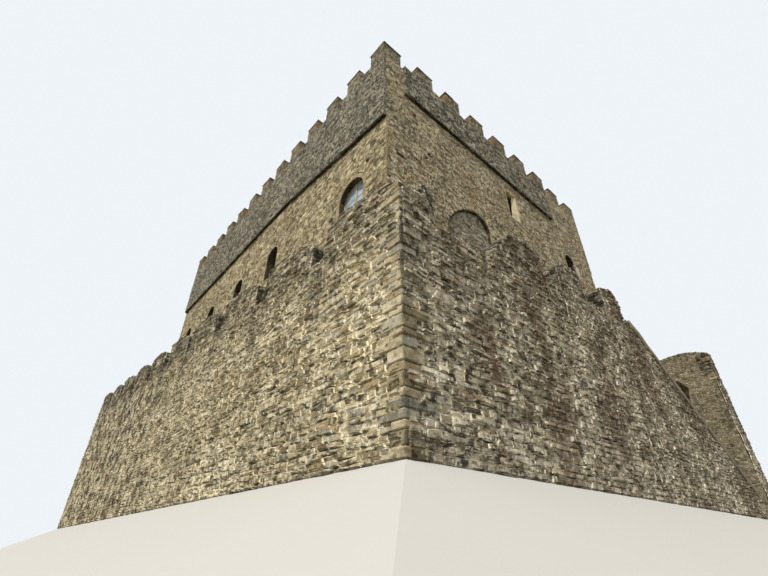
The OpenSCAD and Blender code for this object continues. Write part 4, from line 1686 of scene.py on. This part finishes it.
@dataclass
class Battlements:
    """The keep's merlons and their coping slabs."""

    keep: Keep
    long_count: int = 13
    side_count: int = 9
    top_z: float = 20.52
    thick: float = 0.6
    slab: float = 0.08
    over: float = 0.05

    def spans(self, side: Side) -> list[Pair]:
        """Lists the merlons of one side, from edge to edge.

        Args:
            side: The side.

        Returns:
            The two ends of each merlon.
        """
        low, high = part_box("front_merlons")
        reach, count = (high.x, self.long_count) if side.long else (-low.y, self.side_count)
        wide = 2 * reach / (2 * count - 1)
        return [(-reach + 2 * i * wide, -reach + (2 * i + 1) * wide) for i in range(count)]

    def out(self, side: Side, span: Pair) -> float:
        """Gives the outer face of one merlon, which a side's band carries further out.

        Args:
            side: The side of the building.
            span: The merlon's two ends.

        Returns:
            Its distance from the middle of the plan.
        """
        low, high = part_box("front_merlons")
        if side.long:
            return -low.y
        start, end = self.keep.band_ends(side)
        return high.x + (self.keep.jetty if start <= span[0] and span[1] <= end else 0.0)

    def build_faces(self) -> None:
        """Lays the stones of the merlons: faces in one piece, ends in another, for each side."""
        def skin(side: Side, out: float, start: float, end: float, finish: Finish, seed: int) -> StoneSkin:
            """Gives the stones of one face of a merlon."""
            return StoneSkin("", side, out, start, end, lambda _: self.keep.sill_z, lambda _: self.top_z,
                             "merlon_brick", finish, course=0.13, length=0.21, seed=seed)

        for index, side in enumerate(Side):
            spans, faces, ends = self.spans(side), [], []
            reach = -spans[0][0]
            for i, (a, b) in enumerate(spans):
                out, seed = self.out(side, (a, b)), 100 * index + 4 * i
                inner = out - self.thick
                faces.append(skin(side, out, a, b, Finish.MERLON, seed))
                if 0 < i < len(spans) - 1:
                    faces.append(skin(side.turned(180), -inner, -b, -a, Finish.MERLON, seed + 1))
                if a > 0.01 - reach:
                    ends.append(skin(side.turned(270), -a, inner, out, Finish.MERLON_END, seed + 2))
                if b < reach - 0.01:
                    ends.append(skin(side.turned(90), b, -out, -inner, Finish.MERLON_END, seed + 3))
            build_together(f"{side.word}_merlon_stones", faces)
            build_together(f"{side.word}_merlon_ends", ends)

    def build_copings(self) -> None:
        """Builds the coping slabs, two to a merlon, one piece for each side."""
        top, over, back = self.top_z, self.over, -self.thick - self.over
        for index, side in enumerate(Side):
            slabs = Blocks(90 + index)
            rng, spans = slabs.rng, self.spans(side)
            if not side.long:
                spans = spans[1:-1]
            for a, b in spans:
                plane = side.plane(self.out(side, (a, b)))
                middle = (a + b) / 2 + rng.uniform(-0.12, 0.12)
                for left, right in ((a - over, middle - HALF_JOINT), (middle + HALF_JOINT, b + over)):
                    thick = self.slab * rng.uniform(0.8, 1.0)
                    slabs.add((left, top, back), (right, top + thick, over * rng.uniform(0.6, 1.3)), 0.012,
                              0.009, plane)
                if side.long and (a, b) in (spans[0], spans[-1]):
                    deep = 2 * self.out(side, (a, b)) / (2 * self.side_count - 1) + over
                    left, right = (a - over, a - back) if (a, b) == spans[0] else (b + back, b + over)
                    slabs.add((left, top, -deep), (right, top + self.slab, back + 0.006), 0.012, 0.008,
                              plane)
            slabs.build(f"{side.word}_coping_slabs", Finish.COPING, "coping_slab", [f"{side.word}_copings"])

    def build(self) -> None:
        """Builds the battlements of all four sides."""
        self.build_faces()
        self.build_copings()


@dataclass
class CurtainWall:
    """The close curtain wall round the keep."""

    reach_x: float = 16.3
    reach_y: float = 12.2
    parapet: float = 0.55
    merlon_h: float = 1.0
    fine_from: float = -3.0
    rake: Pair = (-0.32, 9.24)
    tops: dict[Side, SolidTop] = field(default_factory=dict)

    def size(self, side: Side) -> Pair:
        """Gives the distance of one side's outer face, and half that side's length."""
        return (self.reach_y, self.reach_x) if side.long else (self.reach_x, self.reach_y)

    def build_faces(self) -> None:
        """Lays the outer stones of all four sides."""
        nodes = {Side.FRONT: ("front_parapet",), Side.REAR: ("rear_parapet",),
                 Side.RIGHT: ("front_parapet", "right_parapet", "rear_wall", "rear_parapet"),
                 Side.LEFT: ("front_parapet", "left_parapet", "rear_parapet")}
        shown = {"course": 0.12, "length": 0.29, "proud": (0.026, 0.075), "bulge": 0.045, "joint": 0.013,
                 "grade": Grade.WORN}
        plain = {"course": 0.135, "length": 0.32, "proud": (0.018, 0.045), "bulge": 0.025, "joint": 0.011}
        finishes = {Side.FRONT: Finish.CURTAIN_FRONT, Side.RIGHT: Finish.CURTAIN_RIGHT}
        for index, side in enumerate(Side):
            out, half = self.size(side)
            top = SolidTop([f"curtain_{node}" for node in nodes[side]], side, out - 0.06)
            self.tops[side] = top
            StoneSkin(f"curtain_{side.word}_stones", side, out, -half, half, lambda _: 0.0, top,
                      "curtain_rubble", finishes.get(side, Finish.CURTAIN_PLAIN),
                      **(shown if side.near else plain), breaks=tuple(top.jumps(half)), seed=201 + index,
                      fine_from=self.fine_from if side is Side.FRONT else EVERYWHERE).build()

    def build_crowns(self) -> None:
        """Lays the worn stones over and down the ends of every merlon."""
        for index, side in enumerate(Side):
            out, half = self.size(side)
            top, stones = self.tops[side], Blocks(300 + index)
            jumps = [-half, *top.jumps(half), half]
            for a, b in zip(jumps, jumps[1:]):
                level = top((a + b) / 2)
                around = max(top(a - 0.05), top(b + 0.05))
                uneven = abs(top(a + 0.1) - top(b - 0.1))
                if b - a >= 0.5 and level >= max(around + 0.2, 2.0) and uneven <= 1.2:
                    self.cap(stones, a, b, top, side.plane(out))
                    self.line_ends(stones, a, b, top, side.plane(out), 3 if side is Side.RIGHT else 1)
            stones.build(f"curtain_{side.word}_crowns", Finish.CROWN, "curtain_rubble")

    def cap(self, stones: Blocks, a: float, b: float, top: SolidTop, plane: Matrix) -> None:
        """Lays the stones over one merlon.

        Args:
            stones: The piece that takes them.
            a: The merlon's start.
            b: Its end.
            top: The top line.
            plane: The plane of the wall.
        """
        rng, here, inset = stones.rng, a, 0.02
        while b - here > 0.05:
            wide = rng.uniform(0.11, 0.2)
            if b - here - wide < 0.08:
                wide = b - here
            left, right = here + HALF_JOINT, here + wide - HALF_JOINT
            middle, half = (left + right) / 2, (right - left) / 2
            rise = top(min(right, b - inset)) - top(max(left, a + inset))
            tall = rng.uniform(0.12, 0.19)
            level = top(min(max(middle, a + inset), b - inset))
            turn = (Matrix.Translation((middle, level + 0.012, 0))
                    @ Matrix.Rotation(math.atan(rise / max(right - left, 0.01)), 4, "Z"))
            stones.add((-half, -tall, -self.parapet - 0.02 * rng.random()),
                       (half, rng.uniform(0.0, 0.022), rng.uniform(0.03, 0.055)), 0.018, 0.008,
                       plane @ turn)
            here += wide

    def line_ends(self, stones: Blocks, a: float, b: float, top: SolidTop, plane: Matrix,
                  deep: int) -> None:
        """Lays the stones down both ends of one merlon.

        Args:
            stones: The piece that takes them.
            a: The merlon's start.
            b: Its end.
            top: The top line.
            plane: The plane of the wall.
            deep: How many stones the ends have through the wall's thickness.
        """
        rng = stones.rng
        for hand, place in ((-1, a), (1, b)):
            head = top(place - hand * 0.03)
            level = head - 0.1
            while level > head - self.merlon_h + 0.12:
                tall = rng.uniform(0.11, 0.17)
                back, front = -self.parapet - 0.01, rng.uniform(0.03, 0.05)
                cuts = [back + (front - back) * (k + rng.uniform(-0.3, 0.3)) / deep for k in range(1, deep)]
                for start, end in zip((back, *cuts), (*cuts, front)):
                    near, far = sorted((place + hand * rng.uniform(0.01, 0.03),
                                        place - hand * rng.uniform(0.16, 0.26)))
                    stones.add((near, level - tall + HALF_JOINT, start + 0.003),
                               (far, level - HALF_JOINT, end - 0.003), 0.016, 0.006, plane,
                               rng.random() * 0.75)
                level -= tall

    def build_rake(self) -> None:
        """Lays the plaster band along the raking edge beside the ramp."""
        start, end = self.rake
        first, last = (self.tops[Side.RIGHT](place) for place in self.rake)
        tall, deep, front = 0.34, 0.66, 0.105
        bm = new_mesh()
        bmesh.ops.create_cube(bm, size=1.0)
        long_edges = [e for e in bm.edges if abs(e.verts[0].co.x - e.verts[1].co.x) > 0.5]
        bmesh.ops.subdivide_edges(bm, edges=long_edges, cuts=46, use_grid_fill=True)
        for vert in bm.verts:
            s, t, d = (length + 0.5 for length in vert.co)
            along = start + (end - start) * s
            wave = noise.noise(Vector((along * 1.3, t * 4, d * 4))) * 0.03
            vert.co = Vector((along, first + (last - first) * s + 0.02 - (1 - t) * tall + wave,
                              front - (1 - d) * deep + wave))
        bmesh.ops.bevel(bm, geom=[e for e in bm.edges if e.calc_face_angle(0.0) > 0.9], offset=0.03,
                        offset_type="OFFSET", segments=2, profile=0.5, affect="EDGES", material=-1)
        bmesh.ops.transform(bm, matrix=Side.RIGHT.plane(self.reach_x), verts=bm.verts)
        finish_piece("rake_band", bm, Finish.RAKE_PLASTER, smooth=True)

    def build_corners(self) -> None:
        """Stacks the corner stones of the curtain wall."""
        for index, (hand_x, hand_y) in enumerate(((1, -1), (-1, -1), (-1, 1), (1, 1))):
            top = self.tops[Side.FRONT if hand_y < 0 else Side.REAR]
            high = top((0.05 - self.reach_x) * hand_x * hand_y) - 0.04
            # The curtain's corner stones get painted shade on their faces to the short sides, darker
            # towards the top
            CornerStones(f"curtain_corner_stones_{index + 1}",
                         (hand_x * self.reach_x, hand_y * self.reach_y), (0.0, high),
                         Finish.QUOIN_FRONT if index == 0 else Finish.QUOIN_SIDE, "curtain_rubble",
                         400 + index, 0.085, 0.18, dark_top=True).build()

    def build(self) -> None:
        """Builds the whole curtain wall."""
        for step in (self.build_faces, self.build_crowns, self.build_rake, self.build_corners):
            step()


@dataclass
class Roof:
    """The hipped roof's tiles, ridge and hips."""

    pitch: float = 0.24
    seat_z: float = 18.2
    tile_w: float = 0.21
    tile_l: float = 0.36
    reach_x: float = 11.35
    reach_y: float = 8.05
    # Heights of a tile's four steps across, from its channel over its back
    rounds: tuple[float, ...] = (0.0, 0.042, 0.058, 0.042)
    lap: float = 0.022

    def slope(self, side: Side, number: int) -> None:
        """Builds the tiles of one slope.

        Args:
            side: The side that the slope faces.
            number: Its number, for the tiles' tints.
        """
        rng = random.Random(500 + number)
        run = self.reach_y
        half, out = (self.reach_x, self.reach_y) if side.long else (self.reach_y, self.reach_x)
        columns, rows = int(2 * half / self.tile_w), int(run / self.tile_l)
        steps = len(self.rounds)
        bm = new_mesh()
        tint = bm.faces.layers.float[TINT]
        made = bmesh.ops.create_grid(bm, x_segments=columns * steps, y_segments=rows * 2, size=0.5)["verts"]
        for i, vert in enumerate(made):
            line, place = divmod(i, columns * steps + 1)
            row, upper = divmod(line, 2)
            up = run * row / rows + (self.tile_l * 0.02 if upper else 0.0)
            lift = 0.0 if line and not upper else self.lap
            vert.co = Vector((2 * half * place / (columns * steps) - half, up,
                              self.rounds[place % steps] + lift + 0.003))
        tints = {}
        for face in bm.faces:
            middle = face.calc_center_median()
            key = int((middle.x + half) / (2 * half) * columns), int(middle.y / run * rows + 0.02)
            face[tint] = tints.setdefault(key, rng.random())
        for hand in (-1, 1):
            bmesh.ops.bisect_plane(bm, geom=[*bm.verts, *bm.edges, *bm.faces], dist=1e-5,
                                   plane_co=(hand * half, 0, 0), plane_no=(hand, 1, 0), clear_outer=True)
        tilt = Matrix(((1, 0, 0, 0), (0, 1, 0, -out), (0, self.pitch, 1, self.seat_z), (0, 0, 0, 1)))
        turn = Matrix.Rotation(math.radians(side.value), 4, "Z")
        bmesh.ops.transform(bm, matrix=turn @ tilt, verts=bm.verts)
        finish_piece(f"{side.word}_roof_tiles", bm, Finish.TILE)

    def build_ridges(self) -> None:
        """Builds the half-round tiles of the ridge and the hips."""
        rng = random.Random(520)
        bm = new_mesh()
        tint = bm.faces.layers.float[TINT]
        foot = self.seat_z + 0.04
        left, right = (Vector((hand * (self.reach_x - self.reach_y), 0, foot + self.pitch * self.reach_y))
                       for hand in (-1, 1))
        lines = [(left, right)]
        for hand, end in ((-1, left), (1, right)):
            for y in (-self.reach_y, self.reach_y):
                lines.append((Vector((hand * self.reach_x, y, foot)), end))
        for first, last in lines:
            span = last - first
            count = round(span.length / 0.38)
            heading = span.to_track_quat("Z", "Y").to_matrix().to_4x4()
            for i in range(count):
                cone = bmesh.ops.create_cone(bm, cap_ends=True, segments=10, radius1=0.125, radius2=0.1,
                                             depth=0.43)["verts"]
                middle = first + span * ((i + 0.5) / count)
                bmesh.ops.transform(bm, matrix=Matrix.Translation(middle) @ heading, verts=cone)
                shade = rng.random()
                for face in faces_round(cone):
                    face[tint] = shade
        finish_piece("ridge_tiles", bm, Finish.TILE)

    def build(self) -> None:
        """Builds the whole roof covering."""
        for number, side in enumerate(Side):
            self.slope(side, number)
        self.build_ridges()


@dataclass
class Walks:
    """The paving of the walks and of the ramp behind the curtain wall."""

    keep: Keep
    curtain: CurtainWall
    near_z: float = 3.65
    left_z: float = 6.52
    head_z: float = 5.15
    head_y: float = -0.38
    foot_y: float = 8.767
    rear_end: float = 15.0
    gap: float = 0.03

    def flags(self, name: str, box: tuple[float, float, float, float], level: float,
              slope: float, seed: int, turned: bool = False) -> None:
        """Lays flagstones on one walk.

        Args:
            name: The piece's name.
            box: The walk's start, end, low and high edges; along and across it.
            level: The walk's level at the middle of the plan.
            slope: Its rise for each metre along.
            seed: The source of unevenness.
            turned: Whether the walk runs along Y.
        """
        start, end, low, high = box
        plan = ((0, -1, 0, 0), (1, 0, 0, 0)) if turned else ((1, 0, 0, 0), (0, 1, 0, 0))
        StoneSkin(name, Side.FRONT, 0.0, start, end, lambda _: low, lambda _: high, "walk_paving",
                  Finish.PAVING, course=0.36, length=0.5, proud=(0.008, 0.02), joint=0.014, bulge=0.006,
                  seed=seed, settled=Matrix((*plan, (slope, 0, 1, level), (0, 0, 0, 1)))).build()

    def build(self) -> None:
        """Lays the paving of every walk."""
        keep, curtain = self.keep, self.curtain
        inner_x, inner_y = curtain.reach_x - curtain.parapet, curtain.reach_y - curtain.parapet
        keep_x, keep_y = keep.reach_x + self.gap, keep.wall_out + self.gap
        fall = (self.near_z - self.left_z) / (2 * curtain.reach_x)
        rise = (self.head_z - self.near_z) / (self.head_y + curtain.reach_y)
        drop = -self.head_z / (self.foot_y - self.head_y)
        self.flags("front_walk_flags", (-inner_x, inner_x, -inner_y, -keep_y),
                   self.near_z - fall * curtain.reach_x, fall, 601)
        self.flags("right_walk_flags", (-keep.wall_out, self.head_y, -inner_x, -keep_x),
                   self.head_z - rise * self.head_y, rise, 602, True)
        self.flags("ramp_flags", (self.head_y, self.foot_y, -inner_x, -keep_x),
                   -drop * self.foot_y, drop, 603, True)
        self.flags("rear_walk_flags", (-inner_x, self.rear_end, keep_y, inner_y), self.left_z, 0.0, 604)
        self.flags("left_walk_flags", (-keep.wall_out, keep.wall_out, keep_x, inner_x), self.left_z, 0.0,
                   605, True)


def dress_solids() -> None:
    """Gives every CAD node its own finish, by the start or the end of its name."""
    starts = {"keep_": Finish.CORE, "curtain_": Finish.CORE_CURTAIN, "roof_": Finish.TILE,
              "main_floor": Finish.BOARDS, "upper_floor": Finish.BOARDS, "slot_plaster": Finish.PLASTER,
              "window_frame": Finish.JOINERY, "window_glass": Finish.GLASS, "window_sill": Finish.SILL,
              "ramp": Finish.CORE_CURTAIN}
    ends = {"_walk": Finish.CORE_CURTAIN, "_copings": Finish.COPING}
    for node in frame["nodes"]:
        name = node if isinstance(node, str) else node["name"]
        matches = [finish for key, finish in starts.items() if name.startswith(key)]
        matches += [finish for key, finish in ends.items() if name.endswith(key)]
        finish = (matches or [Finish.CORE])[0]
        mesh = bpy.data.objects[name].data
        mesh.materials.clear()
        mesh.materials.append(finish.material())
        log.info("%s: %s", name, finish.value.name)


# ---------------------------------------------------------------- stage, light and camera

@dataclass
class Setting:
    """The pale ground, the light and the camera."""

    curtain: CurtainWall
    floor_z: float = -2.7
    platform_z: float = -0.004
    slope: float = 0.445
    margin: float = 0.03
    reach: float = 400.0
    ground: Colour = (184, 182, 177)
    ground_dark: Colour = (172, 169, 163)
    bounce: Colour = (112, 110, 96)
    sun: float = 3.3
    sun_colour: Triple = (1.0, 0.96, 0.9)
    sun_turn: Triple = (36.5, 0.0, 19.7)
    fill: float = 0.6
    fill_colour: Triple = (1.0, 1.0, 1.0)
    fill_turn: Triple = (55.0, 0.0, -150.0)
    sky: float = 0.75
    sky_light: tuple[float, float, float, float] = (1.0, 1.0, 1.0, 1.0)
    backdrop: tuple[float, float, float, float] = (0.86, 0.90, 0.94, 1.0)
    lens: float = 19.3774
    sensor_w: float = 36.0
    stand: Triple = (20.8431, -16.5571, -1.0853)
    look: Triple = (122.2665, -0.0615, 49.0543)

    def ground_material(self) -> bpy.types.Material:
        """Builds the ground's finish, pale to the camera and darker to the light it throws back.

        Returns:
            The material.
        """
        sh = Shader.named("pale_ground")
        colour = sh.mix(sh.noise(0.8, 3.0).step(0.3, 0.7) * 0.06, self.ground, self.ground_dark)
        return sh.surface(sh.mix(sh.seen(), self.bounce, colour), 0.95, 0.1)

    def build_ground(self) -> None:
        """Builds a low platform under the walls and a flat floor round it."""
        bm = bmesh.new()
        made = bmesh.ops.create_grid(bm, x_segments=1, y_segments=1, size=0.5)["verts"]
        wide, deep = (reach + self.margin + self.reach
                      for reach in (self.curtain.reach_x, self.curtain.reach_y))
        for vert in made:
            vert.co = Vector((math.copysign(wide, vert.co.x), math.copysign(deep, vert.co.y), self.floor_z))
        platform = faces_round(made)
        fall = -self.floor_z / self.slope
        for width in (self.reach - fall, fall):
            bmesh.ops.inset_individual(bm, faces=platform, thickness=width, use_even_offset=True)
        for vert in platform[0].verts:
            vert.co.z = self.platform_z
        mesh = bpy.data.meshes.new("ground")
        bm.to_mesh(mesh)
        bm.free()
        mesh.materials.append(self.ground_material())
        placed("ground", mesh)

    def build_light(self) -> None:
        """Sets a soft sun, a weak fill and a pale sky."""
        for name, strength, colour, turn, spread in (
                ("sun", self.sun, self.sun_colour, self.sun_turn, 3.0),
                ("fill", self.fill, self.fill_colour, self.fill_turn, 40.0)):
            lamp = bpy.data.lights.new(name, "SUN")
            lamp.energy, lamp.color, lamp.angle = strength, colour, math.radians(spread)
            placed(name, lamp).rotation_euler = tuple(map(math.radians, turn))
        world = bpy.data.worlds.new("pale_sky")
        bpy.context.scene.world = world
        sh = Shader(world)
        lit, shown = (sh.node("ShaderNodeBackground", None, {"Color": colour, "Strength": strength})
                      for colour, strength in ((self.sky_light, self.sky), (self.backdrop, 1.0)))
        both = sh.node("ShaderNodeMixShader", None, {0: sh.seen(), 1: lit, 2: shown})
        sh.end("ShaderNodeOutputWorld", both)

    def build_camera(self) -> None:
        """Sets the camera at the place that the photo was taken from."""
        data = bpy.data.cameras.new("camera")
        data.sensor_width, data.sensor_fit = self.sensor_w, "HORIZONTAL"
        data.lens, data.clip_end = self.lens, 500.0
        camera = placed("camera", data)
        camera.location = self.stand
        camera.rotation_euler = tuple(map(math.radians, self.look))
        bpy.context.scene.camera = camera

    def build(self) -> None:
        """Builds the whole setting."""
        self.build_ground()
        self.build_light()
        self.build_camera()
        bpy.context.scene.view_settings.view_transform = "Standard"


def main() -> None:
    """Builds every piece in order."""
    logging.basicConfig(level=logging.INFO, format="%(name)s %(message)s")
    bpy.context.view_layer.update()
    dress_solids()
    keep, curtain = Keep(), CurtainWall()
    for part in (keep, Battlements(keep), curtain, Roof(), Walks(keep, curtain), Setting(curtain)):
        part.build()
    total = sum(len(f.vertices) - 2 for o in bpy.data.objects if o.type == "MESH" for f in o.data.polygons)
    log.info("all: %d triangles", total)


if __name__ == "__main__":
    main()
